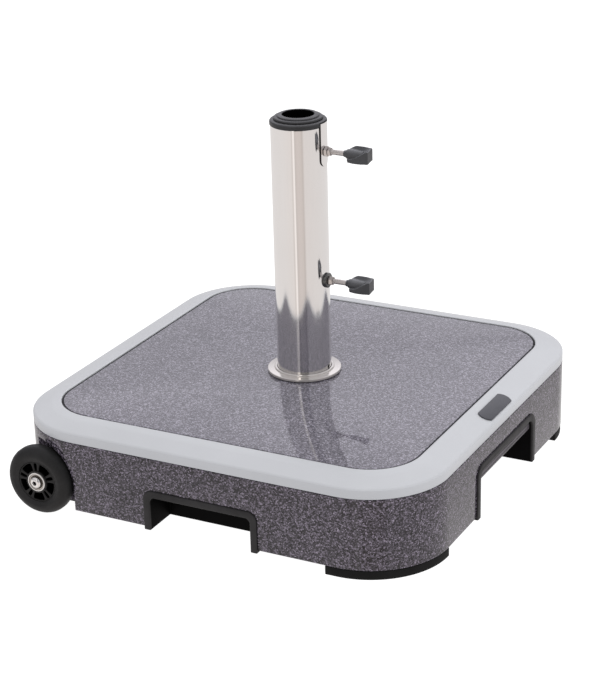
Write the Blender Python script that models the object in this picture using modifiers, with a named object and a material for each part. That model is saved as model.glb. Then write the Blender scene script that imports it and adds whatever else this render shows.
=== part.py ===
"""Wheeled parasol base: granite ballast block, steel pole tube, clamp screws.

Frame: metres, +Z up, ground at z = 0, the pole tube's axis is x = y = 0.
The wheels are on the -X side, the pull grip on the +X side, the carry
pockets on the -Y ("front") and +Y ("rear") sides.

Lengths below are millimetres; the helpers turn them into metres.
"""
import math

import bmesh
import bpy
from mathutils import Vector

MM = 0.001
GAP = 0.3                      # clearance between neighbouring pieces
ASSEMBLY = "parasol_base"

# ---- block, rim and top plate ----
HALF = 250.0                   # half side of the square block
CORNER_R = 90.0                # outer corner radius
CORNER_STEPS = 10              # facets in a quarter turn of the corners
BLOCK_Z0 = 10.5                # underside
BLOCK_Z1 = 92.5                # top, under the rim
BLOCK_BEVEL = 1.2
RIM_Z0 = 92.8
RIM_TOP = 112.0                # inner, highest edge of the rim
RIM_SHOULDER = 104.0           # the rim's top at its outer edge
RIM_SHOULDER_INSET = 2.0
RIM_MID_INSET = 21.0           # where the slope eases off
RIM_MID = 110.2
RIM_CREST_INSET = 31.3         # where the slope reaches RIM_TOP
RIM_WIDTH = 32.5
RIM_WALL = 3.0
PLATE_HALF = 215.2
PLATE_Z0 = 92.8
PLATE_Z1 = 111.1
SEAL_OUTER = 217.2
SEAL_INNER = 215.5
SEAL_Z1 = 110.8

# ---- badge ----
BADGE_X = 238.2
BADGE_Y = -5.5
BADGE_LENGTH = 66.0
BADGE_WIDTH = 17.6
BADGE_THICK = 1.2
BADGE_BULGE = 4.5              # how far the rounded ends stand out

# ---- pockets and their liners ----
LINER_WALL = 8.0
LINER_PROUD = 2.0
LINER_Z0 = 7.5
LINER_BACK = 3.0
LINER_INNER_R = 5.0            # how much tighter the inner corners are
CARRY_HALF = 69.5
CARRY_TOP = 55.0
CARRY_DEPTH = 40.0             # face of the block to the pocket's back wall
CARRY_R = 11.0
PULL_HALF = 85.0
PULL_TOP = 70.5
PULL_DEPTH = 47.0
PULL_R = 15.0
GRIP_SETBACK = 2.4
GRIP_THICK = 12.0
GRIP_HEIGHT = 14.5
GRIP_ROUND = 3.5

# ---- corner feet ----
FOOT_HEIGHT = 10.2
FOOT_X_END = 148.0
FOOT_Y_END = 158.0
FOOT_WIDTH = 38.0
FOOT_INSET = 0.6
PEG_R = 5.0
PEG_HEIGHT = 12.0
PEG_FROM_END = 10.0

# ---- wheels ----
AXLE_X = -203.5
AXLE_Z = 40.0
WHEEL_Y = 247.0                # mid plane of the tyre
TYRE_R = 40.0
TYRE_HALF_WIDTH = 12.0
CORE_R = 23.6
CORE_HALF_WIDTH = 9.6
HUB_R = 13.6
BEARING_R = 11.0
BEARING_BORE = 4.1
BEARING_WIDTH = 7.0
BEARING_FACE = 11.2            # outer face of each bearing from the mid plane
BEARING_SPLIT_OUT = 7.9        # inner radius of the outer ring
BEARING_SPLIT_IN = 7.5         # outer radius of the inner ring
AXLE_R = 3.9
ANCHOR_R = 6.7
ANCHOR_LENGTH = 32.0
WELL_R = 43.5
WELL_FLOOR_Y = 231.0           # flat wall behind the wheel
SPOKE_PAIRS = 5

# ---- pole tube and its fixing ----
ROUND_STEPS = 40
TUBE_R = 31.2
TUBE_BORE = 29.7
TUBE_Z0 = 22.3
TUBE_Z1 = 404.0
PASSAGE_R = 31.6
DRAIN_Z = 120.0
DRAIN_R = 2.2
ROSETTE_R = 42.3
GASKET_THICK = 0.7
FOOT_PLATE_R = 62.0
FOOT_PLATE_Z0 = 17.0
SPIGOT_R = 29.2                # low boss that centres the tube; the pole stands on it
SPIGOT_Z1 = 24.0
RECESS_Z = 22.3
RECESS_R = 66.0
PLATE_BOLT_CIRCLE = 48.0
PLATE_BOLT_R = 4.0
PLATE_BOLT_TOP = 58.0

# ---- clamp screws ----
UPPER_Z = 375.8
LOWER_Z = 225.0
SCREW_R = 3.0
SCREW_NECK_R = 2.1
SCREW_TIP_X = 23.9
SCREW_IN_KNOB = 21.0
CLEARANCE_HOLE_R = 3.6
PAD_X0 = 19.3
PAD_X1 = 24.6
PAD_R = 5.0
KNOB_X0 = 56.0
KNOB_RIM = 1.8                 # flat rim along the top of the wing
KNOB_CHAMFER = 0.7
KNOB_HALF = 6.8
# The wing rises to its full height along a ramp (x, height over the axis).
KNOB_RAMP = ((60.0, 2.0), (76.3, 12.0), (60.0, 12.0))
SCOOP_STEPS = 4
STRAP_Z0 = 358.5
STRAP_Z1 = 408.2
STRAP_HALF = 8.0
STRAP_R0 = 31.5
STRAP_R1 = 32.7

# ---- reducer sleeves in the mouth of the tube ----
SLEEVE_Z0 = 320.0
SLOT_HALF = 7.0
SLOT_TOP = 383.0

UPRIGHT = math.pi / 2          # tips a flat outline up, its thickness along Y
SHARP_DEGREES = 50.0           # edges sharper than this stay crisp on round pieces


# ------------------------------------------------------------------ helpers
def clear_scene():
    for obj in list(bpy.data.objects):
        bpy.data.objects.remove(obj, do_unlink=True)


def new_collection(name):
    coll = bpy.data.collections.new(name)
    bpy.context.scene.collection.children.link(coll)
    return coll


def material(name, colour, roughness, metallic):
    mat = bpy.data.materials.new(name)
    mat.use_nodes = True
    shader = mat.node_tree.nodes["Principled BSDF"]
    shader.inputs["Base Color"].default_value = (*colour, 1.0)
    shader.inputs["Roughness"].default_value = roughness
    shader.inputs["Metallic"].default_value = metallic
    return mat


def place(obj, where, turn=(0.0, 0.0, 0.0)):
    obj.location = Vector(where) * MM
    obj.rotation_euler = turn
    return obj


def as_part(obj, mat):
    PARTS.objects.link(obj)
    obj.data.materials.append(mat)
    return obj


def as_cutter(obj):
    CUTTERS.objects.link(obj)
    obj.display_type = "WIRE"
    obj.hide_render = True
    return obj


def cut(obj, tool, operation="DIFFERENCE"):
    mod = obj.modifiers.new(operation.title() + " " + tool.name, "BOOLEAN")
    mod.operation = operation
    mod.solver = "EXACT"
    mod.object = tool


def bevel(obj, width, segments=1):
    mod = obj.modifiers.new("Bevel", "BEVEL")
    mod.width = width * MM
    mod.segments = segments
    mod.limit_method = "ANGLE"
    mod.angle_limit = math.radians(40.0)


def turned(name, profile, steps):
    """Profile of (radius, station) points turned once round local Z.

    A ring's profile is closed; a solid's starts and ends on the axis. Either
    way it is put in the order that runs down the outer side.
    """
    solid = profile[0][0] == 0.0 and profile[-1][0] == 0.0
    area = 0.0
    for (r0, z0), (r1, z1) in zip(profile, profile[1:] + profile[:1]):
        area += r0 * z1 - r1 * z0
    if area > 0.0:
        profile = profile[::-1]
    verts = [(r * MM, 0.0, z * MM) for r, z in profile]
    edges = [(k, k + 1) for k in range(len(profile) - 1)]
    if not solid:
        edges.append((len(profile) - 1, 0))
    mesh = bpy.data.meshes.new(name)
    mesh.from_pydata(verts, edges, [])
    obj = bpy.data.objects.new(name, mesh)
    screw = obj.modifiers.new("Screw", "SCREW")
    screw.axis = "Z"
    screw.angle = 2.0 * math.pi
    screw.steps = steps
    screw.render_steps = steps
    screw.use_merge_vertices = True
    screw.merge_threshold = 0.00001
    screw.use_smooth_shade = True
    return obj


def cylinder(name, radius, length, steps):
    """Closed cylinder along local Z, centred on its origin."""
    mesh = bpy.data.meshes.new(name)
    bm = bmesh.new()
    bmesh.ops.create_cone(bm, cap_ends=True, segments=steps, radius1=radius * MM,
                          radius2=radius * MM, depth=length * MM)
    bm.to_mesh(mesh)
    bm.free()
    mesh.shade_smooth()
    mesh.set_sharp_from_angle(angle=math.radians(SHARP_DEGREES))
    return bpy.data.objects.new(name, mesh)


def block_shape(name, size):
    mesh = bpy.data.meshes.new(name)
    bm = bmesh.new()
    bmesh.ops.create_cube(bm, size=1.0)
    bmesh.ops.scale(bm, vec=Vector(size) * MM, verts=bm.verts)
    bm.to_mesh(mesh)
    bm.free()
    return bpy.data.objects.new(name, mesh)


def slab(name, outlines, thickness):
    """Flat outline (a second one is a hole) with its thickness along local Z."""
    curve = bpy.data.curves.new(name, "CURVE")
    curve.dimensions = "2D"
    curve.fill_mode = "BOTH"
    curve.extrude = thickness * MM / 2.0
    for outline in outlines:
        spline = curve.splines.new("POLY")
        spline.points.add(len(outline) - 1)
        for point, (x, y) in zip(spline.points, outline):
            point.co = (x * MM, y * MM, 0.0, 1.0)
        spline.use_cyclic_u = True
    return welded_mesh(name, curve)


def welded_mesh(name, curve):
    """Turn a curve into a closed mesh object."""
    drawn = bpy.data.objects.new(name + "_curve", curve)
    bpy.context.scene.collection.objects.link(drawn)
    depsgraph = bpy.context.evaluated_depsgraph_get()
    mesh = bpy.data.meshes.new_from_object(drawn.evaluated_get(depsgraph))
    mesh.name = name
    bpy.data.objects.remove(drawn, do_unlink=True)
    bm = bmesh.new()
    bm.from_mesh(mesh)
    bmesh.ops.remove_doubles(bm, verts=bm.verts, dist=0.000002)
    bmesh.ops.recalc_face_normals(bm, faces=bm.faces)
    bm.to_mesh(mesh)
    bm.free()
    return bpy.data.objects.new(name, mesh)


def arc(cx, cy, radius, start, end, steps):
    points = []
    for k in range(steps + 1):
        a = math.radians(start + (end - start) * k / steps)
        points.append((cx + radius * math.cos(a), cy + radius * math.sin(a)))
    return points


def rounded_square(half, radius):
    c = half - radius
    points = arc(c, c, radius, 0, 90, CORNER_STEPS)
    points += arc(-c, c, radius, 90, 180, CORNER_STEPS)
    points += arc(-c, -c, radius, 180, 270, CORNER_STEPS)
    points += arc(c, -c, radius, 270, 360, CORNER_STEPS)
    return points


# ------------------------------------------------------------- block and top
def pocket_outline(half, top, radius, grow, bottom=LINER_Z0):
    """Upright section of a pocket, square at the ground: (across, height)."""
    half = half + grow
    top = top + grow
    radius = radius + grow
    points = [(-half, bottom), (half, bottom)]
    points += arc(half - radius, top - radius, radius, 0, 90, 5)
    points += arc(-half + radius, top - radius, radius, 90, 180, 5)
    return points


def face_inward(obj, face, near, far):
    """Stand a slab on one side of the block, between two distances from centre."""
    mid = (near + far) / 2.0
    where = {"front": (0.0, -mid, 0.0), "side": (mid, 0.0, 0.0), "rear": (0.0, mid, 0.0)}
    turn = {"front": 0.0, "side": math.pi / 2, "rear": math.pi}
    return place(obj, where[face], (UPRIGHT, 0.0, turn[face]))


def pocket_prism(name, outline, face, near, far):
    return face_inward(slab(name, [outline], far - near), face, near, far)


POCKETS = (
    ("front", CARRY_HALF, CARRY_TOP, CARRY_DEPTH, CARRY_R),
    ("rear", CARRY_HALF, CARRY_TOP, CARRY_DEPTH, CARRY_R),
    ("side", PULL_HALF, PULL_TOP, PULL_DEPTH, PULL_R),
)


def peg_places(side):
    """Plan positions of one foot's two pegs; side is -1 front, +1 rear."""
    mid = HALF - FOOT_INSET - FOOT_WIDTH / 2.0
    return ((FOOT_X_END + PEG_FROM_END, side * mid), (mid, side * (FOOT_Y_END + PEG_FROM_END)))


def bolt_places():
    return arc(0.0, 0.0, PLATE_BOLT_CIRCLE, 45, 315, 3)


def wheel_well(side):
    """Arch round a wheel, open to the ground and outwards."""
    outline = arc(0.0, 0.0, WELL_R, 0, 180, 24)
    outline += [(-WELL_R, -AXLE_Z - 2.0), (WELL_R, -AXLE_Z - 2.0)]
    far = HALF + 20.0
    well = slab("wheel_well", [outline], far - WELL_FLOOR_Y)
    return place(well, (AXLE_X, side * (WELL_FLOOR_Y + far) / 2.0, AXLE_Z), (UPRIGHT, 0.0, 0.0))


def build_block():
    outline = rounded_square(HALF, CORNER_R)
    block = as_part(slab("ballast_block", [outline], BLOCK_Z1 - BLOCK_Z0), GRANITE)
    place(block, (0.0, 0.0, (BLOCK_Z0 + BLOCK_Z1) / 2.0))
    bevel(block, BLOCK_BEVEL)
    for face, half, top, depth, radius in POCKETS:
        section = pocket_outline(half, top, radius, GAP)
        near = HALF - depth - LINER_BACK - GAP
        cut(block, as_cutter(pocket_prism("pocket_" + face, section, face, near, HALF + 10.0)))
    for side in (-1, 1):
        cut(block, as_cutter(wheel_well(side)))
        bore = as_cutter(cylinder("anchor_hole", ANCHOR_R + GAP, 2.0 * ANCHOR_LENGTH + 4.0, 24))
        cut(block, place(bore, (AXLE_X, side * WELL_FLOOR_Y, AXLE_Z), (UPRIGHT, 0.0, 0.0)))
        for px, py in peg_places(side):
            hole = as_cutter(cylinder("peg_hole", PEG_R + GAP, 2.0 * PEG_HEIGHT + 2.0, 16))
            cut(block, place(hole, (px, py, BLOCK_Z0)))
    passage = as_cutter(cylinder("tube_passage", PASSAGE_R, 200.0, ROUND_STEPS))
    cut(block, place(passage, (0.0, 0.0, 60.0)))
    recess = as_cutter(cylinder("foot_plate_recess", RECESS_R, 2.0 * RECESS_Z, ROUND_STEPS))
    cut(block, recess)
    for px, py in bolt_places():
        depth = 2.0 * (PLATE_BOLT_TOP + 2.0 - RECESS_Z)
        hole = as_cutter(cylinder("bolt_hole", PLATE_BOLT_R + GAP, depth, 16))
        cut(block, place(hole, (px, py, RECESS_Z)))


def build_rim():
    """Light frame: a hollow section swept round the block's edge."""
    path = bpy.data.curves.new("rim_path", "CURVE")
    path.dimensions = "2D"
    path.fill_mode = "NONE"
    spline = path.splines.new("POLY")
    outline = rounded_square(HALF, CORNER_R)
    spline.points.add(len(outline) - 1)
    for point, (x, y) in zip(spline.points, outline):
        point.co = (x * MM, y * MM, 0.0, 1.0)
    spline.use_cyclic_u = True
    section = (
        (0.0, RIM_Z0),
        (0.0, RIM_SHOULDER - 2.2),
        (0.6, RIM_SHOULDER - 1.0),
        (RIM_SHOULDER_INSET, RIM_SHOULDER),
        (RIM_MID_INSET, RIM_MID),
        (RIM_CREST_INSET, RIM_TOP),
        (RIM_WIDTH, RIM_TOP - 0.9),
        (RIM_WIDTH, RIM_Z0),
        (RIM_WIDTH - RIM_WALL, RIM_Z0),
        (RIM_WIDTH - RIM_WALL, RIM_TOP - RIM_WALL - 1.2),
        (RIM_WALL, RIM_SHOULDER - RIM_WALL - 0.7),
        (RIM_WALL, RIM_Z0),
    )
    shape = bpy.data.curves.new("rim_section", "CURVE")
    shape.dimensions = "2D"
    shape.fill_mode = "NONE"
    edge = shape.splines.new("POLY")
    edge.points.add(len(section) - 1)
    for point, (inset, z) in zip(edge.points, section):
        point.co = (inset * MM, z * MM, 0.0, 1.0)
    edge.use_cyclic_u = True
    guide = bpy.data.objects.new("rim_section", shape)
    as_cutter(guide)
    path.bevel_mode = "OBJECT"
    path.bevel_object = guide
    rim = as_part(welded_mesh("rim_frame", path), RIM_PAINT)
    return rim


def build_seal():
    inset_out = HALF - SEAL_OUTER
    inset_in = HALF - SEAL_INNER
    outer = rounded_square(SEAL_OUTER, CORNER_R - inset_out)
    inner = rounded_square(SEAL_INNER, CORNER_R - inset_in)
    seal = as_part(slab("joint_seal", [outer, inner], SEAL_Z1 - PLATE_Z0), SEAL_RUBBER)
    place(seal, (0.0, 0.0, (SEAL_Z1 + PLATE_Z0) / 2.0))


def build_top_plate():
    outline = rounded_square(PLATE_HALF, CORNER_R - (HALF - PLATE_HALF))
    plate = as_part(slab("top_plate", [outline], PLATE_Z1 - PLATE_Z0), GRANITE_TOP)
    place(plate, (0.0, 0.0, (PLATE_Z0 + PLATE_Z1) / 2.0))
    bevel(plate, 0.5)
    hole = as_cutter(cylinder("plate_hole", PASSAGE_R, 60.0, ROUND_STEPS))
    cut(plate, place(hole, (0.0, 0.0, PLATE_Z0)))


def build_badge():
    """Plain label with bowed ends, lying on the sloping top of the rim."""
    half_len = BADGE_LENGTH / 2.0 - BADGE_BULGE
    half_wid = BADGE_WIDTH / 2.0
    bow_r = (half_wid ** 2 + BADGE_BULGE ** 2) / (2.0 * BADGE_BULGE)
    spread = math.degrees(math.asin(half_wid / bow_r))
    cy = half_len + BADGE_BULGE - bow_r
    outline = arc(0.0, cy, bow_r, 90 - spread, 90 + spread, 8)
    outline += arc(0.0, -cy, bow_r, 270 - spread, 270 + spread, 8)
    badge = as_part(slab("badge", [outline], BADGE_THICK), BADGE_GREY)
    bevel(badge, 0.5)
    slope = (RIM_MID - RIM_SHOULDER) / (RIM_MID_INSET - RIM_SHOULDER_INSET)
    rim_z = RIM_SHOULDER + (HALF - RIM_SHOULDER_INSET - BADGE_X) * slope
    lift = BADGE_THICK / 2.0 + GAP + 0.1
    place(badge, (BADGE_X, BADGE_Y, rim_z + lift), (0.0, math.atan(slope), 0.0))


def build_liners():
    for face, half, top, depth, radius in POCKETS:
        name = "pull_handle_liner" if face == "side" else "carry_handle_liner_" + face
        outline = pocket_outline(half, top, radius, 0.0)
        near = HALF - depth - LINER_BACK
        liner = as_part(pocket_prism(name, outline, face, near, HALF + LINER_PROUD), LINER_PLASTIC)
        bevel(liner, 1.0)
        inner = pocket_outline(half - LINER_WALL, top - LINER_WALL, radius - LINER_INNER_R, 0.0, 2.0)
        hollow = pocket_prism("hollow_" + face, inner, face, HALF - depth, HALF + 10.0)
        cut(liner, as_cutter(hollow))


def build_pull_grip():
    """Rounded bar across the top of the pull pocket, between its side walls."""
    x1 = HALF - GRIP_SETBACK
    top = PULL_TOP - LINER_WALL - GAP
    grip = as_part(block_shape("pull_grip_bar", (GRIP_THICK, 2.0 * PULL_HALF, GRIP_HEIGHT)),
                   GRIP_PLASTIC)
    place(grip, (x1 - GRIP_THICK / 2.0, 0.0, top - GRIP_HEIGHT / 2.0))
    bevel(grip, GRIP_ROUND, 3)
    fit = pocket_outline(PULL_HALF - LINER_WALL, PULL_TOP - LINER_WALL, PULL_R - LINER_INNER_R, -GAP)
    cut(grip, as_cutter(pocket_prism("grip_fit", fit, "side", 200.0, 260.0)), "INTERSECT")


def foot_outline(side):
    outer = HALF - FOOT_INSET
    r_out = CORNER_R - FOOT_INSET
    r_in = r_out - FOOT_WIDTH
    centre = HALF - CORNER_R
    points = [(FOOT_X_END, -outer)]
    points += arc(centre, -centre, r_out, -90, 0, CORNER_STEPS)
    points.append((outer, -FOOT_Y_END))
    points.append((outer - FOOT_WIDTH, -FOOT_Y_END))
    points += arc(centre, -centre, r_in, 0, -90, CORNER_STEPS)
    points.append((FOOT_X_END, -outer + FOOT_WIDTH))
    return [(x, -side * y) for x, y in points]


def build_feet():
    for side, name in ((-1, "corner_foot_front"), (1, "corner_foot_rear")):
        foot = as_part(slab(name, [foot_outline(side)], FOOT_HEIGHT), FOOT_RUBBER)
        place(foot, (0.0, 0.0, FOOT_HEIGHT / 2.0))
        bevel(foot, 0.8)
        for px, py in peg_places(side):
            peg = as_cutter(cylinder("foot_peg", PEG_R, PEG_HEIGHT + 4.0, 16))
            place(peg, (px, py, FOOT_HEIGHT + PEG_HEIGHT / 2.0 - 2.0))
            cut(foot, peg, "UNION")


# -------------------------------------------------------------------- wheels
def on_axle(obj, side):
    """Put a turned piece on the axle; its stations grow away from the block."""
    return place(obj, (AXLE_X, side * WHEEL_Y, AXLE_Z), (-side * UPRIGHT, 0.0, 0.0))


def build_tyre(side, tag):
    w = TYRE_HALF_WIDTH
    r = TYRE_R
    half = [
        (r, w - 9.6),
        (r - 1.2, w - 5.8),
        (r - 4.2, w - 2.2),
        (r - 9.0, w),
        (CORE_R + 4.0, w - 0.5),
        (CORE_R + 1.6, w - 1.6),
        (CORE_R + GAP, w - 3.4),
    ]
    other = [(radius, -station) for radius, station in reversed(half)]
    on_axle(as_part(turned("wheel_tyre_" + tag, half + other, ROUND_STEPS), TYRE_BLACK), side)


def spoke_window(side, angle, half_angle, r0, r1):
    """Opening through the core's web, a ring segment."""
    outline = arc(0.0, 0.0, r1, angle - half_angle, angle + half_angle, 3)
    outline += arc(0.0, 0.0, r0, angle + half_angle, angle - half_angle, 3)
    window = as_cutter(slab("spoke_window", [outline], 40.0))
    return place(window, (AXLE_X, side * WHEEL_Y, AXLE_Z), (UPRIGHT, 0.0, 0.0))


def build_core(side, tag):
    w = CORE_HALF_WIDTH
    hub = BEARING_FACE - 0.2
    seat = BEARING_FACE - BEARING_WIDTH - GAP
    half = [
        (BEARING_R - 2.2, seat),
        (BEARING_R + GAP, seat),
        (BEARING_R + GAP, hub),
        (HUB_R, hub),
        (HUB_R, w - 1.8),
        (CORE_R - 2.2, w - 1.8),
        (CORE_R - 2.2, w),
        (CORE_R, w - 1.4),
    ]
    other = [(radius, -station) for radius, station in reversed(half)]
    core = as_part(turned("wheel_core_" + tag, half + other, 30), CORE_BLACK)
    on_axle(core, side)
    step = 360.0 / SPOKE_PAIRS
    for k in range(SPOKE_PAIRS):
        middle = 93.0 + k * step
        cut(core, spoke_window(side, middle, 5.5, 15.2, 20.6))
        cut(core, spoke_window(side, middle + step / 2.0, 20.5, 15.0, 20.8))


def build_bearing(side, tag, row, face, back):
    outer = [(BEARING_R, face), (BEARING_SPLIT_OUT, face), (BEARING_SPLIT_OUT, back),
             (BEARING_R, back)]
    inner = [(BEARING_SPLIT_IN, face), (BEARING_BORE, face), (BEARING_BORE, back),
             (BEARING_SPLIT_IN, back)]
    for ring, profile in (("outer", outer), ("inner", inner)):
        name = "bearing_" + ring + "_" + row + "_" + tag
        on_axle(as_part(turned(name, profile, 24), BEARING_STEEL), side)


def bush(name, radius, near, far, mat, side):
    profile = [(radius, near), (BEARING_BORE, near), (BEARING_BORE, far), (radius, far)]
    on_axle(as_part(turned(name + ("_front" if side < 0 else "_rear"), profile, 20), mat), side)


def build_axle(side, tag):
    seat = BEARING_FACE - BEARING_WIDTH - GAP
    wall = WELL_FLOOR_Y - WHEEL_Y
    anchor_end = wall - GAP - ANCHOR_LENGTH
    bush("axle_spacer", 6.2, seat, -seat, DARK_STEEL, side)
    bush("standoff_bush", 7.0, -BEARING_FACE - GAP, wall + GAP, DARK_STEEL, side)
    bush("axle_anchor", ANCHOR_R, wall - GAP, anchor_end, BRASS, side)
    head = BEARING_FACE + GAP
    profile = [
        (0.0, head + 3.4),
        (4.6, head + 3.3),
        (6.2, head + 2.4),
        (6.8, head + 1.0),
        (6.8, head),
        (AXLE_R, head),
        (AXLE_R, anchor_end + 3.0),
        (AXLE_R - 0.8, anchor_end + 2.2),
        (0.0, anchor_end + 2.2),
    ]
    bolt = as_part(turned("axle_bolt_" + tag, profile, 24), BOLT_STEEL)
    on_axle(bolt, side)
    socket = as_cutter(cylinder("hex_socket", 2.9, 6.0, 6))
    out = side * (WHEEL_Y + head + 3.9)
    cut(bolt, place(socket, (AXLE_X, out, AXLE_Z), (UPRIGHT, 0.0, 0.0)))


def build_wheels():
    face = BEARING_FACE
    back = BEARING_FACE - BEARING_WIDTH
    for side, tag in ((-1, "front"), (1, "rear")):
        build_tyre(side, tag)
        build_core(side, tag)
        build_bearing(side, tag, "outboard", face, back)
        build_bearing(side, tag, "inboard", -back, -face)
        build_axle(side, tag)


# ----------------------------------------------------------------- pole tube
def cross_hole(name, radius, z, x0, x1):
    """Cutter along +X through one side of the tube."""
    tool = as_cutter(cylinder(name, radius, x1 - x0, 20))
    return place(tool, ((x0 + x1) / 2.0, 0.0, z), (0.0, math.pi / 2, 0.0))


def build_tube():
    profile = [(TUBE_R, TUBE_Z1), (TUBE_R, TUBE_Z0), (TUBE_BORE, TUBE_Z0), (TUBE_BORE, TUBE_Z1)]
    tube = as_part(turned("pole_tube", profile, ROUND_STEPS), TUBE_STEEL)
    cut(tube, cross_hole("drain_hole", DRAIN_R, DRAIN_Z, 10.0, 60.0))
    for z in (UPPER_Z, LOWER_Z):
        cut(tube, cross_hole("screw_hole", CLEARANCE_HOLE_R, z, 10.0, 60.0))


def build_rosette():
    under = PLATE_Z1 + GAP
    inner = TUBE_R + 0.4
    gasket = [(ROSETTE_R - 1.6, under + GASKET_THICK), (ROSETTE_R - 1.6, under),
              (inner + 1.1, under), (inner + 1.1, under + GASKET_THICK)]
    as_part(turned("rosette_gasket", gasket, ROUND_STEPS), SEAL_RUBBER)
    z0 = under + GASKET_THICK + GAP
    ring = [
        (inner, z0 + 5.2),
        (inner + 1.8, z0 + 5.2),
        (inner + 2.9, z0 + 4.2),
        (inner + 2.9, z0 + 3.0),
        (ROSETTE_R - 0.5, z0 + 2.9),
        (ROSETTE_R, z0 + 2.4),
        (ROSETTE_R, z0),
        (inner, z0),
    ]
    as_part(turned("base_rosette", ring, ROUND_STEPS), TUBE_STEEL)


def build_foot_plate():
    """Round plate that closes the tube's foot, bolted up into the block."""
    top = RECESS_Z - GAP
    section = [(0.0, FOOT_PLATE_Z0), (FOOT_PLATE_R, FOOT_PLATE_Z0), (FOOT_PLATE_R, top),
               (SPIGOT_R, top), (SPIGOT_R, SPIGOT_Z1), (0.0, SPIGOT_Z1)]
    plate = as_part(turned("tube_foot_plate", section, ROUND_STEPS), DARK_STEEL)
    cut(plate, as_cutter(cylinder("plate_drain", 6.0, 100.0, 20)))
    head = FOOT_PLATE_Z0 - GAP
    profile = [
        (0.0, PLATE_BOLT_TOP),
        (PLATE_BOLT_R, PLATE_BOLT_TOP),
        (PLATE_BOLT_R, head),
        (7.2, head),
        (7.2, head - 4.6),
        (6.4, head - 5.2),
        (0.0, head - 5.2),
    ]
    for index, (px, py) in enumerate(bolt_places()):
        hole = as_cutter(cylinder("plate_bolt_hole", PLATE_BOLT_R + GAP, 100.0, 16))
        cut(plate, place(hole, (px, py, 0.0)))
        bolt = turned("foot_plate_bolt_%d" % (index + 1), profile, 16)
        place(as_part(bolt, BOLT_STEEL), (px, py, 0.0))


def sleeve(name, profile):
    """Slotted sleeve: the slot runs out of its lower end past the screw."""
    body = as_part(turned(name, profile, ROUND_STEPS), CAP_PLASTIC)
    slot = as_cutter(block_shape("screw_slot", (30.0, 2.0 * SLOT_HALF, SLOT_TOP - SLEEVE_Z0 + 5.0)))
    cut(body, place(slot, (25.0, 0.0, (SLOT_TOP + SLEEVE_Z0 - 5.0) / 2.0)))
    return body


def build_sleeves():
    z0 = SLEEVE_Z0
    mouth = TUBE_Z1 + GAP
    cap = sleeve("outer_reducer_sleeve", [
        (25.2, 408.6),
        (27.6, 410.0),
        (30.6, 409.7),
        (32.0, 408.2),
        (32.0, mouth),
        (29.3, mouth),
        (29.3, z0),
        (25.2, z0),
    ])
    inside = STRAP_R0 - GAP
    notch = as_cutter(turned("strap_notch", [(40.0, 420.0), (40.0, 390.0), (inside, 390.0),
                                             (inside, 420.0)], ROUND_STEPS))
    width = as_cutter(block_shape("notch_width", (20.0, 2.0 * (STRAP_HALF + GAP), 60.0)))
    cut(notch, place(width, (34.0, 0.0, 405.0)), "INTERSECT")
    cut(cap, notch)
    sleeve("middle_reducer_sleeve", [
        (21.3, 412.2),
        (24.0, 413.0),
        (26.4, 412.6),
        (27.4, 411.6),
        (27.4, 410.4),
        (24.9, 409.2),
        (24.9, z0),
        (21.3, z0),
    ])
    sleeve("inner_reducer_sleeve", [
        (17.6, 414.4),
        (18.3, 415.0),
        (20.4, 415.0),
        (23.0, 414.2),
        (23.6, 413.3),
        (21.0, 412.6),
        (21.0, z0),
        (17.6, z0),
    ])


# -------------------------------------------------------------- clamp screws
def build_strap():
    """Curved plate outside the tube's mouth that carries the upper nut."""
    ring = [(STRAP_R1, STRAP_Z1), (STRAP_R1, 350.0), (STRAP_R0, 350.0), (STRAP_R0, STRAP_Z1)]
    strap = as_part(turned("upper_clamp_strap", ring, ROUND_STEPS), TUBE_STEEL)
    outline = [(STRAP_HALF, 420.0), (-STRAP_HALF, 420.0)]
    outline += arc(0.0, STRAP_Z0 + STRAP_HALF, STRAP_HALF, 180, 360, 12)
    tab = as_cutter(pocket_prism("strap_tab", outline, "side", 10.0, 50.0))
    cut(strap, tab, "INTERSECT")
    cut(strap, cross_hole("strap_hole", CLEARANCE_HOLE_R, UPPER_Z, 10.0, 60.0))


def build_nut(name, across, x0, x1, z):
    nut = as_part(cylinder(name, across / math.sqrt(3.0), x1 - x0, 6), BOLT_STEEL)
    place(nut, ((x0 + x1) / 2.0, 0.0, z), (0.0, math.pi / 2, 0.0))
    bevel(nut, 0.5)
    cut(nut, cross_hole(name + "_bore", SCREW_R + GAP, z, 20.0, 60.0))


def build_saddle():
    """Round washer hollowed to sit on the tube under the lower nut."""
    profile = [(8.5, 34.0), (8.5, 28.0), (SCREW_R + GAP, 28.0), (SCREW_R + GAP, 34.0)]
    saddle = as_part(turned("lower_saddle_washer", profile, 32), DARK_STEEL)
    place(saddle, (0.0, 0.0, LOWER_Z), (0.0, math.pi / 2, 0.0))
    shell = as_cutter(cylinder("saddle_seat", TUBE_R + GAP, 60.0, ROUND_STEPS))
    cut(saddle, place(shell, (0.0, 0.0, LOWER_Z)))


def knob_section(station, half_height, half_width, ridge, scoop):
    """Half-turn symmetric section of the wing, scooped on two opposite sides.

    One scoop runs from the rim at the rear top down to the ridge on the front
    face, the other is its half turn about the screw's axis.
    """
    rim_y = half_width - KNOB_RIM
    half = [(half_width, half_height - KNOB_CHAMFER), (half_width - KNOB_CHAMFER, half_height),
            (rim_y, half_height)]
    dy = -half_width - rim_y
    dz = ridge - half_height
    run = math.hypot(dy, dz)
    for k in range(1, SCOOP_STEPS):
        t = k / SCOOP_STEPS
        sag = scoop * 4.0 * t * (1.0 - t)
        half.append((rim_y + dy * t - dz / run * sag, half_height + dz * t + dy / run * sag))
    half.append((-half_width, ridge))
    loop = half + [(-y, -z) for y, z in half]
    return [(station * MM, y * MM, z * MM) for y, z in loop]


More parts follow.
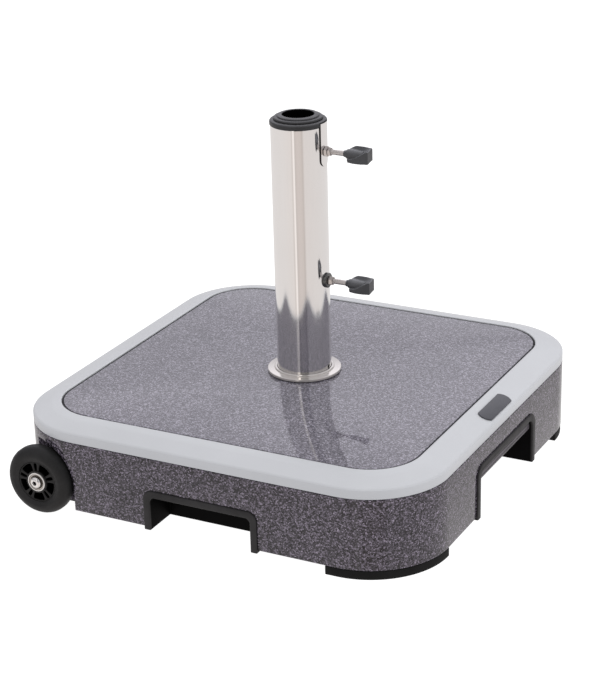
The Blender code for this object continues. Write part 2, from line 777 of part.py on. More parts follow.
def wing_loft(name):
    """Lofted wing of a clamp knob, its stations running along +X.

    Each row is: station, half height, half width, ridge height, scoop depth.
    """
    stations = (
        (6.2, 6.8, 5.8, -3.8, 0.3),
        (7.0, 8.0, 6.6, -4.8, 0.5),
        (12.0, 8.6, 6.8, -4.0, 1.0),
        (17.0, 8.7, 6.8, -1.2, 1.8),
        (22.0, 8.6, 6.8, 2.0, 2.2),
        (27.0, 8.1, 6.7, 5.0, 1.6),
        (30.0, 8.0, 6.8, 6.4, 0.7),
        (31.0, 7.6, 6.5, 6.0, 0.3),
    )
    bm = bmesh.new()
    rows = [[bm.verts.new(p) for p in knob_section(*station)] for station in stations]
    count = len(rows[0])
    for lower, upper in zip(rows, rows[1:]):
        for k in range(count):
            n = (k + 1) % count
            bm.faces.new((lower[k], lower[n], upper[n], upper[k]))
    bm.faces.new(rows[0])
    bm.faces.new(rows[-1])
    bmesh.ops.triangulate(bm, faces=bm.faces)
    bmesh.ops.recalc_face_normals(bm, faces=bm.faces)
    mesh = bpy.data.meshes.new(name)
    bm.to_mesh(mesh)
    bm.free()
    mesh.shade_smooth()
    mesh.set_sharp_from_angle(angle=math.radians(SHARP_DEGREES))
    return bpy.data.objects.new(name, mesh)


def build_knob(name, z):
    """Wing knob: a round hub growing out of the screw into a scooped wing."""
    knob = place(as_part(wing_loft(name), KNOB_BLACK), (KNOB_X0, 0.0, z))
    ramp = as_cutter(slab(name + "_ramp", [[(x, z + up) for x, up in KNOB_RAMP]], 4.0 * KNOB_HALF))
    cut(knob, place(ramp, (0.0, 0.0, 0.0), (UPRIGHT, 0.0, 0.0)))
    profile = [(0.0, 0.0), (3.7, 0.0), (4.7, 1.0), (5.3, 3.0), (5.6, 7.0), (4.7, 23.0), (0.0, 24.0)]
    hub = as_cutter(turned(name + "_hub", profile, 20))
    cut(knob, place(hub, (KNOB_X0, 0.0, z), (0.0, math.pi / 2, 0.0)), "UNION")
    end = KNOB_X0 + SCREW_IN_KNOB + 1.0
    cut(knob, cross_hole(name + "_bore", SCREW_R + GAP, z, KNOB_X0 - 3.0, end))


def build_screw(name, z):
    """Stations run along +X from the knob's near end, the joint's origin."""
    tip = SCREW_TIP_X - KNOB_X0
    profile = [
        (0.0, SCREW_IN_KNOB),
        (SCREW_R, SCREW_IN_KNOB),
        (SCREW_R, tip + 4.0),
        (SCREW_NECK_R, tip + 3.0),
        (SCREW_NECK_R, tip),
        (0.0, tip),
    ]
    screw = as_part(turned(name, profile, 24), SCREW_STEEL)
    place(screw, (KNOB_X0, 0.0, z), (0.0, math.pi / 2, 0.0))


def build_pad(name, z):
    """Plastic cap on the tip of the screw; it does not turn on the pole."""
    length = PAD_X1 - PAD_X0
    seat = SCREW_TIP_X - GAP - PAD_X0
    profile = [
        (0.0, seat),
        (SCREW_NECK_R + GAP, seat),
        (SCREW_NECK_R + GAP, length),
        (PAD_R, length),
        (PAD_R, 0.8),
        (PAD_R - 0.8, 0.0),
        (0.0, 0.0),
    ]
    pad = as_part(turned(name, profile, 24), PAD_PLASTIC)
    place(pad, (PAD_X0, 0.0, z), (0.0, math.pi / 2, 0.0))


def build_clamps():
    build_strap()
    build_nut("upper_clamp_nut", 12.2, STRAP_R1 + GAP, 36.6, UPPER_Z)
    build_nut("upper_lock_nut", 9.8, 36.9, 40.2, UPPER_Z)
    build_saddle()
    build_nut("lower_clamp_nut", 10.4, 34.3, 39.6, LOWER_Z)
    for row, z in (("upper", UPPER_Z), ("lower", LOWER_Z)):
        build_screw(row + "_clamp_screw", z)
        build_knob(row + "_clamp_knob", z)
        build_pad(row + "_pressure_pad", z)


# ---------------------------------------------------------------------- main
clear_scene()
PARTS = new_collection(ASSEMBLY)
CUTTERS = new_collection("cutters")

GRANITE = material("granite_dark", (0.12, 0.11, 0.12), 0.35, 0.0)
GRANITE_TOP = material("granite_polished", (0.20, 0.19, 0.22), 0.15, 0.0)
RIM_PAINT = material("rim_light_grey", (0.60, 0.61, 0.63), 0.35, 0.0)
SEAL_RUBBER = material("seal_black", (0.02, 0.02, 0.02), 0.8, 0.0)
BADGE_GREY = material("badge_grey", (0.10, 0.10, 0.11), 0.4, 0.0)
LINER_PLASTIC = material("liner_black", (0.03, 0.03, 0.03), 0.5, 0.0)
GRIP_PLASTIC = material("grip_grey", (0.07, 0.07, 0.075), 0.5, 0.0)
FOOT_RUBBER = material("foot_black", (0.02, 0.02, 0.02), 0.7, 0.0)
TYRE_BLACK = material("tyre_black", (0.03, 0.03, 0.03), 0.55, 0.0)
CORE_BLACK = material("core_black", (0.035, 0.035, 0.035), 0.45, 0.0)
BEARING_STEEL = material("bearing_steel", (0.75, 0.74, 0.72), 0.2, 1.0)
BOLT_STEEL = material("bolt_steel", (0.70, 0.69, 0.67), 0.28, 1.0)
DARK_STEEL = material("dark_steel", (0.15, 0.15, 0.15), 0.4, 1.0)
BRASS = material("anchor_brass", (0.60, 0.45, 0.20), 0.35, 1.0)
TUBE_STEEL = material("tube_steel", (0.80, 0.79, 0.78), 0.08, 1.0)
CAP_PLASTIC = material("cap_black", (0.03, 0.03, 0.035), 0.4, 0.0)
SCREW_STEEL = material("screw_steel", (0.62, 0.60, 0.59), 0.25, 1.0)
KNOB_BLACK = material("knob_black", (0.04, 0.04, 0.045), 0.4, 0.0)
PAD_PLASTIC = material("pad_black", (0.05, 0.05, 0.05), 0.5, 0.0)

build_block()
build_rim()
build_seal()
build_top_plate()
build_badge()
build_liners()
build_pull_grip()
build_feet()
build_wheels()
build_tube()
build_rosette()
build_foot_plate()
build_sleeves()
build_clamps()
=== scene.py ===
"""Looks for the wheeled parasol base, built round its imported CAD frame.

The frame is in metres: +Z up, ground at z = 0, the pole tube's axis is
x = y = 0, wheels on the -X side, pull grip on the +X side. Lengths in this
script are millimetres unless a name ends in _M; the helpers convert them.
"""
import math
import bmesh
import bpy
from mathutils import Matrix, Vector


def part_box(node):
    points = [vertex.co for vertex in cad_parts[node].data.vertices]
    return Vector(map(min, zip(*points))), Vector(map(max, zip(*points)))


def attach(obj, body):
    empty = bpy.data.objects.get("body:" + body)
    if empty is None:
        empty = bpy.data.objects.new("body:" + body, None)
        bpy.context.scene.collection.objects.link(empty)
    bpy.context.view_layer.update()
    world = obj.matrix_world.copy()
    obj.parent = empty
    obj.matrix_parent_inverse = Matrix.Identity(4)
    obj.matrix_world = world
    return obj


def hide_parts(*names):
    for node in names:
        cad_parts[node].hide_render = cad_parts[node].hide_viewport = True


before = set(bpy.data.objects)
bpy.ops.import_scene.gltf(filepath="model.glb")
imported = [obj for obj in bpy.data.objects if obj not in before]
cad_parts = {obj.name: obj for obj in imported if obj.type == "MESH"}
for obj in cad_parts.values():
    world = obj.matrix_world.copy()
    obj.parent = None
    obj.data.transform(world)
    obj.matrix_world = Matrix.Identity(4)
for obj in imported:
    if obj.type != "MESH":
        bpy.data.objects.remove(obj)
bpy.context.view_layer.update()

MM = 0.001

# ---- camera (metres and degrees) ----
CAMERA_PLACE_M = (0.9921, -1.8937, 1.0052)
CAMERA_YAW = -27.779
CAMERA_PITCH = 22.149
CAMERA_ROLL = -1.559
CAMERA_LENS = 103.26
SENSOR = 36.0

# ---- shapes that the nodes' boxes don't tell ----
CORNER_R = 90.0
CORNER_STEPS = 36
ROUND_STEPS = 160
CAP_STEPS = 128
HUB_STEPS = 96
SMALL_STEPS = 72
PIN_STEPS = 48
GAP = 0.3                       # clearance between neighbouring pieces
WELL_R = 43.5                   # wheel well: radius, and its inner wall's distance from centre
WELL_FLOOR_Y = 231.0
LINER_WALL = 8.0
LINER_BACK = 3.0
CARRY_R = 11.0                  # upper corners of the carry and pull pockets
PULL_R = 15.0
LINER_INNER_R = 5.0             # how much smaller the corner radius is inside a liner
RIM_SHOULDER = 104.0            # height of the rim's outer bend, and how far in it lies
RIM_SHOULDER_INSET = 2.0
RIM_MID = 110.2                 # a point halfway up the rim's slope
RIM_MID_INSET = 21.0
SPOKE_PAIRS = 5
BLOCK_EDGE = 1.2
ROUND_SLACK = 0.05              # how far a wall may lie from its true radius
TUBE_BORE_R = 29.7
DRAIN_R = 2.2
DRAIN_Z = 120.0
SCREW_HOLE_R = 3.6
THREAD_END = 42.0
THREAD_PITCH = 1.0
THREAD_DEPTH = 0.42
CAP_SLOT_TOP = 383.0
FOOT_WIDTH = 38.0
FOOT_HEIGHT = 10.2

# Knob wing: distance from the near end, half height, half width, ridge height, scoop depth.
WING_STATIONS = (
    (5.4, 6.8, 5.8, -3.8, 0.3),
    (6.2, 8.0, 6.6, -4.8, 0.5),
    (12.0, 8.6, 6.8, -4.0, 1.0),
    (17.0, 8.7, 6.8, -1.2, 1.8),
    (22.0, 8.6, 6.8, 2.0, 2.2),
    (27.0, 8.1, 6.7, 5.0, 1.6),
    (30.0, 8.0, 6.8, 6.4, 0.7),
    (31.0, 7.6, 6.5, 6.0, 0.3),
)

# ---- light and finish ----
STONE_GRAINS = 760.0            # grains to a metre, coarse and fine
STONE_FINE = 1500.0
STONE_MINERALS = ((0.0, 0.12), (0.25, 0.35), (0.45, 0.72), (0.65, 1.20), (0.82, 2.1), (1.0, 3.6))
GRAIN_WOBBLE_M = 0.0008         # how far the grains stray from round cells
TUBE_LAY = 0.25                 # turn of the polishing lines: along the tube
FILL_LOW = 1.02                 # strength of the soft fill from below and above
FILL_HIGH = 0.95
WHITE = (1.0, 1.0, 1.0)
MATERIALS = {}

# What the polished parts mirror: colour against the compass angle, below and above eye level.
ROOM_LOW = (
    (-180, (0.86, 0.84, 0.835)), (-40, (0.87, 0.835, 0.82)), (-6, (0.87, 0.82, 0.795)),
    (-1.0, (0.74, 0.68, 0.65)), (2.5, (1.06, 1.0, 0.97)), (7.5, (1.06, 1.0, 0.97)),
    (10.0, (0.68, 0.62, 0.59)), (20, (0.75, 0.68, 0.65)), (34, (0.73, 0.665, 0.63)),
    (41.0, (0.66, 0.60, 0.57)), (47, (0.83, 0.785, 0.765)), (180, (0.86, 0.84, 0.835)),
)
ROOM_HIGH = (
    (-180, (1.05, 1.04, 1.12)), (-122, (1.02, 1.01, 1.08)), (-104, (0.40, 0.40, 0.43)),
    (-4.0, (0.45, 0.44, 0.46)), (1.5, (1.5, 1.45, 1.42)), (7.5, (1.5, 1.45, 1.42)),
    (10.0, (0.02, 0.02, 0.02)), (20, (0.16, 0.16, 0.16)), (34, (0.10, 0.10, 0.11)),
    (41, (0.0, 0.0, 0.0)), (48, (0.45, 0.45, 0.48)), (158, (0.42, 0.42, 0.45)),
    (172, (1.05, 1.04, 1.12)),
)


def span(node):
    """Lowest and highest corner of a CAD node, in millimetres."""
    lo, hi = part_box(node)
    return Vector(lo) / MM, Vector(hi) / MM


def mid_z(node):
    lo, hi = span(node)
    return (lo.z + hi.z) / 2.0


def half_x(node):
    lo, hi = span(node)
    return (hi.x - lo.x) / 2.0


def outmost_y(node):
    """Distance of a node's outer face from the middle of the base."""
    lo, hi = span(node)
    return max(abs(lo.y), abs(hi.y))


HALF = span("ballast_block")[1].x
TUBE_R = span("pole_tube")[1].x
STRAP_R = TUBE_R + GAP          # the strap's inside, just clear of the tube
RIM_INSIDE = span("joint_seal")[1].x + GAP


# ---- mesh helpers ----
def new_object(name, verts, faces):
    """Closed mesh object from points in millimetres."""
    mesh = bpy.data.meshes.new(name)
    mesh.from_pydata([Vector(v) * MM for v in verts], [], faces)
    obj = bpy.data.objects.new(name, mesh)
    bpy.context.scene.collection.objects.link(obj)
    bm = bmesh.new()
    bm.from_mesh(mesh)
    bmesh.ops.recalc_face_normals(bm, faces=bm.faces)
    bm.to_mesh(mesh)
    bm.free()
    return obj


def shade(obj, degrees=32.0):
    obj.data.shade_smooth()
    obj.data.set_sharp_from_angle(angle=math.radians(degrees))
    return obj


def bake(obj):
    """Put the result of the modifiers into the mesh."""
    depsgraph = bpy.context.evaluated_depsgraph_get()
    mesh = bpy.data.meshes.new_from_object(obj.evaluated_get(depsgraph))
    obj.modifiers.clear()
    old = obj.data
    obj.data = mesh
    bpy.data.meshes.remove(old)
    return obj


def boolean(obj, tool, operation="DIFFERENCE"):
    mod = obj.modifiers.new("cut", "BOOLEAN")
    mod.operation = operation
    mod.solver = "EXACT"
    mod.object = tool
    bake(obj)
    bpy.data.objects.remove(tool, do_unlink=True)
    return obj


def bevel(obj, width, segments=3, degrees=40.0):
    mod = obj.modifiers.new("bevel", "BEVEL")
    mod.width = width * MM
    mod.segments = segments
    mod.limit_method = "ANGLE"
    mod.angle_limit = math.radians(degrees)
    return bake(obj)


def loft(name, loops, ring):
    """Quads between equal loops; a ring joins the last loop to the first."""
    count = len(loops[0])
    verts = [p for loop in loops for p in loop]
    faces = []
    last = len(loops) if ring else len(loops) - 1
    for i in range(last):
        j = (i + 1) % len(loops)
        for k in range(count):
            n = (k + 1) % count
            faces.append((i * count + k, i * count + n, j * count + n, j * count + k))
    if not ring:
        faces.append(tuple(range(count)))
        faces.append(tuple(range((len(loops) - 1) * count, len(loops) * count)))
    return new_object(name, verts, faces)


def prism(name, outline, low, high, axes):
    """Outline of (a, b) points extruded from low to high; axes(a, b, s) is the point."""
    return loft(name, [[axes(a, b, s) for a, b in outline] for s in (low, high)], False)


def along_x(a, b, s):
    return s, a, b


def along_y(a, b, s):
    return a, s, b


def along_z(a, b, s):
    return a, b, s


def outwards(side):
    """Along Y, away from the middle of the base on the given side."""
    return lambda a, b, s: (a, side * s, b)


def fillet(points, radius, steps=5, closed=True):
    """Outline with its corners rounded; radius is one number or one per point."""
    count = len(points)
    radii = [radius] * count if isinstance(radius, (int, float)) else list(radius)
    result = []
    for k, point in enumerate(points):
        p = Vector(point)
        if radii[k] <= 0.0 or (not closed and k in (0, count - 1)):
            result.append((p.x, p.y))
            continue
        a = Vector(points[k - 1]) - p
        b = Vector(points[(k + 1) % count]) - p
        la, lb = a.length, b.length
        a.normalize()
        b.normalize()
        angle = math.acos(max(-1.0, min(1.0, a.dot(b))))
        if angle > math.radians(176.0):
            result.append((p.x, p.y))
            continue
        reach = min(radii[k] / math.tan(angle / 2.0), 0.48 * la, 0.48 * lb)
        r = reach * math.tan(angle / 2.0)
        centre = p + (a + b).normalized() * (r / math.sin(angle / 2.0))
        start = p + a * reach - centre
        end = p + b * reach - centre
        turn = math.atan2(start.x * end.y - start.y * end.x, start.dot(end))
        for i in range(steps + 1):
            t = turn * i / steps
            c, s = math.cos(t), math.sin(t)
            result.append((centre.x + start.x * c - start.y * s, centre.y + start.x * s + start.y * c))
    return result


def turned(name, profile, place, steps=SMALL_STEPS):
    """Profile of (radius, station) turned once; place(r, angle, s) is the point."""
    solid = profile[0][0] < 1e-6 and profile[-1][0] < 1e-6
    verts = []
    rows = []
    for r, s in profile:
        if r < 1e-6:
            rows.append([len(verts)] * steps)
            verts.append(place(0.0, 0.0, s))
        else:
            rows.append(list(range(len(verts), len(verts) + steps)))
            verts += [place(r, 2.0 * math.pi * k / steps, s) for k in range(steps)]
    faces = []
    pairs = list(zip(rows, rows[1:]))
    if not solid:
        pairs.append((rows[-1], rows[0]))
    for lower, upper in pairs:
        for k in range(steps):
            n = (k + 1) % steps
            corners = tuple(dict.fromkeys((lower[k], lower[n], upper[n], upper[k])))
            if len(corners) > 2:
                faces.append(corners)
    return new_object(name, verts, faces)


def about_z(x=0.0, y=0.0):
    return lambda r, a, s: (x + r * math.cos(a), y + r * math.sin(a), s)


def about_x(y, z):
    return lambda r, a, s: (s, y + r * math.cos(a), z + r * math.sin(a))


def about_y(x, z, side):
    """Stations grow outwards: towards -Y on the front, +Y on the rear."""
    return lambda r, a, s: (x + r * math.cos(a), side * s, z + r * math.sin(a))


def cylinder_tool(place, radius, low, high, steps=SMALL_STEPS):
    profile = [(0.0, low), (radius, low), (radius, high), (0.0, high)]
    return turned("tool", profile, place, steps)


def box_tool(low, high):
    corners = [(low[0], low[1]), (high[0], low[1]), (high[0], high[1]), (low[0], high[1])]
    return prism("tool", corners, low[2], high[2], along_z)


def rounded_square(half, radius, z, steps=CORNER_STEPS):
    c = half - radius
    loop = []
    for quarter, (sx, sy) in enumerate(((1, 1), (-1, 1), (-1, -1), (1, -1))):
        for k in range(steps + 1):
            a = math.pi / 2.0 * (quarter + k / steps)
            loop.append((sx * c + radius * math.cos(a), sy * c + radius * math.sin(a), z))
    return loop


def square_ring(name, profile):
    """Closed profile of (inset from the block's side, z) swept round the square."""
    return loft(name, [rounded_square(HALF - i, CORNER_R - i, z) for i, z in profile], True)


def true_round(obj, *radii):
    """Exact cylinder normals on the walls at the given radii round the Z axis."""
    mesh = obj.data
    normals = [Vector(n.vector) for n in mesh.corner_normals]
    for face in mesh.polygons:
        if abs(face.normal.z) > 0.02:
            continue
        for k in face.loop_indices:
            away = mesh.vertices[mesh.loops[k].vertex_index].co / MM
            away.z = 0.0
            if min(abs(away.length - r) for r in radii) > ROUND_SLACK:
                continue
            away.normalize()
            lean = away.dot(face.normal)
            if abs(lean) > 0.9:
                normals[k] = away if lean > 0.0 else -away
    mesh.normals_split_custom_set(normals)


# ---- material helpers ----
class Tree:
    """Short ways to add and join the nodes of a tree."""

    def __init__(self, tree):
        self.tree = tree

    def add(self, kind, inputs=None, **settings):
        """New node; inputs gives sockets, by name or place, a link or a constant."""
        node = self.tree.nodes.new("ShaderNode" + kind)
        for key, value in settings.items():
            setattr(node, key, value)
        for key, value in (inputs or {}).items():
            self.put(value, node.inputs[key])
        return node

    def put(self, value, socket):
        """Link another node's output, or set a constant."""
        if isinstance(value, bpy.types.NodeSocket):
            self.tree.links.new(value, socket)
        else:
            socket.default_value = value

    def split(self, vector):
        return self.add("SeparateXYZ", {"Vector": vector}).outputs

    def math(self, operation, *values):
        return self.add("Math", dict(enumerate(values)), operation=operation).outputs[0]

    def vector(self, operation, *values):
        return self.add("VectorMath", dict(enumerate(values)), operation=operation).outputs

    def remap(self, value, source=(0.0, 1.0), target=(0.0, 1.0)):
        """Map one range onto another, clamped."""
        ends = dict(zip(("From Min", "From Max", "To Min", "To Max"), (*source, *target)))
        return self.add("MapRange", {"Value": value, **ends}).outputs["Result"]

    def ramp(self, value, stops):
        node = self.add("ValToRGB", {"Fac": value})
        elements = node.color_ramp.elements
        while len(elements) < len(stops):
            elements.new(0.5)
        for element, (position, colour) in zip(elements, stops):
            element.position = position
            element.color = (*colour, 1.0)
        return node.outputs["Color"]

    def mix(self, first, second, fac, blend="MIX"):
        node = self.add("Mix", data_type="RGBA", blend_type=blend)
        sockets = {s.identifier: s for s in node.inputs}
        for key, value in (("Factor_Float", fac), ("A_Color", first), ("B_Color", second)):
            self.put(value, sockets[key])
        return {s.identifier: s for s in node.outputs}["Result_Color"]


class Nodes(Tree):
    """A material's nodes, with textures in the object's own metres."""

    def __init__(self, name):
        self.material = bpy.data.materials.new(name)
        self.material.use_nodes = True
        super().__init__(self.material.node_tree)
        self.shader = self.tree.nodes["Principled BSDF"]
        coordinates = self.add("TexCoord").outputs
        self.where = coordinates["Object"]
        self.normal = coordinates["Normal"]

    def set(self, **sockets):
        """Constants or links on the shader; an underscore stands for a space."""
        for name, value in sockets.items():
            self.put(value, self.shader.inputs[name.replace("_", " ")])

    def stretched(self, scale):
        return self.add("Mapping", {"Scale": scale, "Vector": self.where}).outputs["Vector"]

    def noise(self, scale, detail=2.0, roughness=0.5, where=None, output="Fac"):
        return self.add("TexNoise", {"Scale": scale, "Detail": detail, "Roughness": roughness,
                                     "Vector": where or self.where}).outputs[output]

    def grains(self, scale, where):
        """One random grey for each grain."""
        cells = self.add("TexVoronoi", {"Scale": scale, "Vector": where})
        return self.add("SeparateColor", {"Color": cells.outputs["Color"]}).outputs["Red"]

    def radius(self, keep, x, y, z):
        """Distance from a point, or from an axis: keep drops the axis's coordinate."""
        away = self.vector("MULTIPLY_ADD", self.where, keep, (-x * MM, -y * MM, -z * MM))
        return self.vector("LENGTH", away["Vector"])["Value"]

    def fade(self, value, low, high, black):
        """Factor that rises from black to white between two depths in millimetres."""
        return self.ramp(self.remap(value, (low * MM, high * MM)),
                         [(0.0, (black,) * 3), (1.0, WHITE)])

    def bump(self, height, strength, distance):
        node = self.add("Bump", {"Strength": strength, "Distance": distance, "Height": height})
        self.set(Normal=node.outputs["Normal"])

    def finish(self, colour, roughness, metallic=0.0):
        self.set(Base_Color=colour, Roughness=roughness, Metallic=metallic)
        return self.material


def scaled(colour, factor):
    return tuple(min(1.0, c * factor) for c in colour)


def granite(name, colour, gloss, contrast):
    """Polished fine-grained stone: dark, middle and light minerals."""
    m = Nodes(name)
    wobble = m.noise(1100.0, output="Color")
    where = m.vector("MULTIPLY_ADD", wobble, (GRAIN_WOBBLE_M,) * 3, m.where)["Vector"]
    grain = m.grains(STONE_GRAINS, where)
    body = m.ramp(grain, [(place, scaled(colour, 1.0 + (factor - 1.0) * contrast))
                          for place, factor in STONE_MINERALS])
    fine = m.ramp(m.grains(STONE_FINE, where), [(0.0, (1.0 - 0.5 * contrast,) * 3), (0.5, (0.95,) * 3),
                                            (1.0, (1.0 + 0.7 * contrast,) * 3)])
    body = m.mix(body, fine, 1.0, "MULTIPLY")
    drift = m.ramp(m.noise(9.0, 3.0), [(0.3, (0.95, 0.95, 0.96)), (0.7, (1.05, 1.04, 1.05))])
    body = m.mix(body, drift, 1.0, "MULTIPLY")
    return m.finish(body, m.remap(m.noise(420.0, 3.0), target=(gloss * 0.75, gloss * 1.35)))


def painted(name, colour):
    """Satin powder coat with a faint orange peel."""
    m = Nodes(name)
    tint = m.ramp(m.noise(14.0, 3.0), [(0.3, scaled(colour, 0.975)), (0.7, scaled(colour, 1.02))])
    speck = m.ramp(m.noise(1500.0, 2.0), [(0.35, (0.975, 0.975, 0.975)), (0.65, WHITE)])
    m.bump(m.noise(1100.0, 3.0), 0.045, 0.0003)
    return m.finish(m.mix(tint, speck, 1.0, "MULTIPLY"),
                    m.remap(m.noise(260.0, 3.0), target=(0.30, 0.40)))


def steel(name, colour, rough, lines=(1.0, 1.0, 1.0), metallic=1.0, line_scale=900.0, bump=0.02,
          drift=0.05, shade_marks=None):
    """Metal with fine polishing lines drawn along one direction."""
    m = Nodes(name)
    streak = m.noise(line_scale, 3.0, 0.6, m.stretched(lines))
    cloud = m.noise(22.0, 3.0)
    tint = m.ramp(cloud, [(0.3, scaled(colour, 1.0 - drift)), (0.7, scaled(colour, 1.0 + drift / 2))])
    scratch = m.ramp(streak, [(0.32, (0.94, 0.94, 0.94)), (0.6, WHITE)])
    m.bump(streak, bump, 0.0001)
    # painted shade multiplied into the colour: gaps, grooves and sockets made dark
    if shade_marks:
        tint = m.mix(tint, shade_marks(m), 1.0, "MULTIPLY")
    return m.finish(m.mix(tint, scratch, 1.0, "MULTIPLY"),
                    m.remap(m.mix(cloud, streak, 0.5), target=(rough * 0.8, rough * 1.25)), metallic)


def mirror_tube(name, edge=False):
    """Polished tube: reflections smeared along its axis, faint drawing lines; with edge set, painted
    shade turns the faces that don't face +X black.
    """
    m = Nodes(name)
    streak = m.noise(700.0, 3.0, 0.6, m.stretched((1.0, 1.0, 0.03)))
    cloud = m.noise(16.0, 2.0)
    tint = m.ramp(cloud, [(0.3, (0.815, 0.80, 0.79)), (0.7, (0.83, 0.815, 0.806))])
    lines = m.ramp(streak, [(0.32, (0.985, 0.985, 0.985)), (0.6, WHITE)])
    colour = m.mix(tint, lines, 1.0, "MULTIPLY")
    if edge:
        # painted shade: the strap's edge faces, which don't face +X, turned black
        rim = m.ramp(m.split(m.normal)["X"], [(0.5, (0.03, 0.027, 0.026)), (0.7, WHITE)])
        colour = m.mix(colour, rim, 1.0, "MULTIPLY")
    tangent = m.add("Tangent", direction_type="RADIAL", axis="Z")
    m.set(Tangent=tangent.outputs["Tangent"], Anisotropic=0.92, Anisotropic_Rotation=TUBE_LAY)
    return m.finish(colour, m.remap(cloud, target=(0.060, 0.072)), 1.0)


def moulded(name, colour, rough, grain=1600.0, bump=0.12, wear=1.5, shine=0.25, hollow=None,
            top_light=0.0):
    """Moulded plastic or rubber: fine texture, slight chalking in patches.

    hollow names a function that paints shade: black, without reflection, in hollows and recesses;
    the last argument says how much painted light makes the faces that look up lighter, with painted
    shade on the side and lower faces.
    """
    m = Nodes(name)
    cloud = m.noise(38.0, 4.0, 0.6)
    tint = m.ramp(cloud, [(0.35, scaled(colour, 0.9)), (0.75, scaled(colour, wear))])
    speck = m.noise(grain, 2.0)
    dots = m.ramp(speck, [(0.3, (0.86, 0.86, 0.86)), (0.7, (1.12, 1.12, 1.12))])
    body = m.mix(tint, dots, 1.0, "MULTIPLY")
    m.set(Specular_IOR_Level=shine)
    # painted shade: black and without reflection where the hollow function says
    if hollow:
        shade_mask = hollow(m)
        body = m.mix(body, shade_mask, 1.0, "MULTIPLY")
        m.set(Specular_IOR_Level=m.remap(shade_mask, target=(0.0, shine)))
    # painted light from above: faces that look up lighter, the others darker
    if top_light:
        body = m.mix(body, lit_from_above(m, top_light), 1.0, "MULTIPLY")
    m.bump(speck, bump, 0.0002)
    return m.finish(body, m.remap(m.noise(120.0, 3.0), target=(rough - 0.06, rough + 0.07)))


def lit_from_above(m, top_light):
    """Painted light and shade: a grey factor that grows from the lower and side faces to the top ones.
    """
    up = m.remap(m.split(m.normal)["Z"], (-1.0, 1.0))
    return m.ramp(up, [(0.0, (0.75,) * 3), (0.5, (0.88,) * 3), (0.75, (1.0 + 0.17 * top_light,) * 3),
                       (1.0, (1.0 + top_light,) * 3)])


def shade_past_face(face, width):
    """Painted shade: black where |y| is further in than the given face (millimetres)."""
    return lambda m: m.fade(m.math("ABSOLUTE", m.split(m.where)["Y"]), face - width, face, 0.03)


def shade_in_bore(radius, width):
    """Painted shade: black nearer to the pole axis than the given radius (millimetres)."""
    return lambda m: m.fade(m.radius((1.0, 1.0, 0.0), 0.0, 0.0, 0.0), radius, radius + width, 0.04)


def shade_in_pocket(m):
    """Painted shade: black on the pocket liners' inner walls, behind the lips."""
    lip = outmost_y("carry_handle_liner_front")
    size = m.split(m.vector("ABSOLUTE", m.where)["Vector"])
    return m.fade(m.math("MAXIMUM", size["X"], size["Y"]), lip - 3.0, lip - 1.0, 0.10)


def bearing_rings(m):
    """Painted shade in the gap between a bearing's bright rings and in the groove at the outer ring's
    step, with a greyer band between them.
    """
    x, z, _, _ = wheel_place("front")
    radius = m.remap(m.radius((1.0, 0.0, 1.0), x, 0.0, z), (6.0 * MM, 11.0 * MM))
    # the first colour is painted shade on the inner ring and gap beside the bolt head, the second
    # painted shade in the groove
    seal, groove = (0.10, 0.085, 0.075), (0.16, 0.14, 0.13)
    return m.ramp(radius, [(0.0, seal), (0.36, seal), (0.42, (0.62, 0.58, 0.54)),
                           (0.62, (0.72, 0.69, 0.66)), (0.66, groove), (0.71, groove),
                           (0.75, WHITE), (1.0, WHITE)])


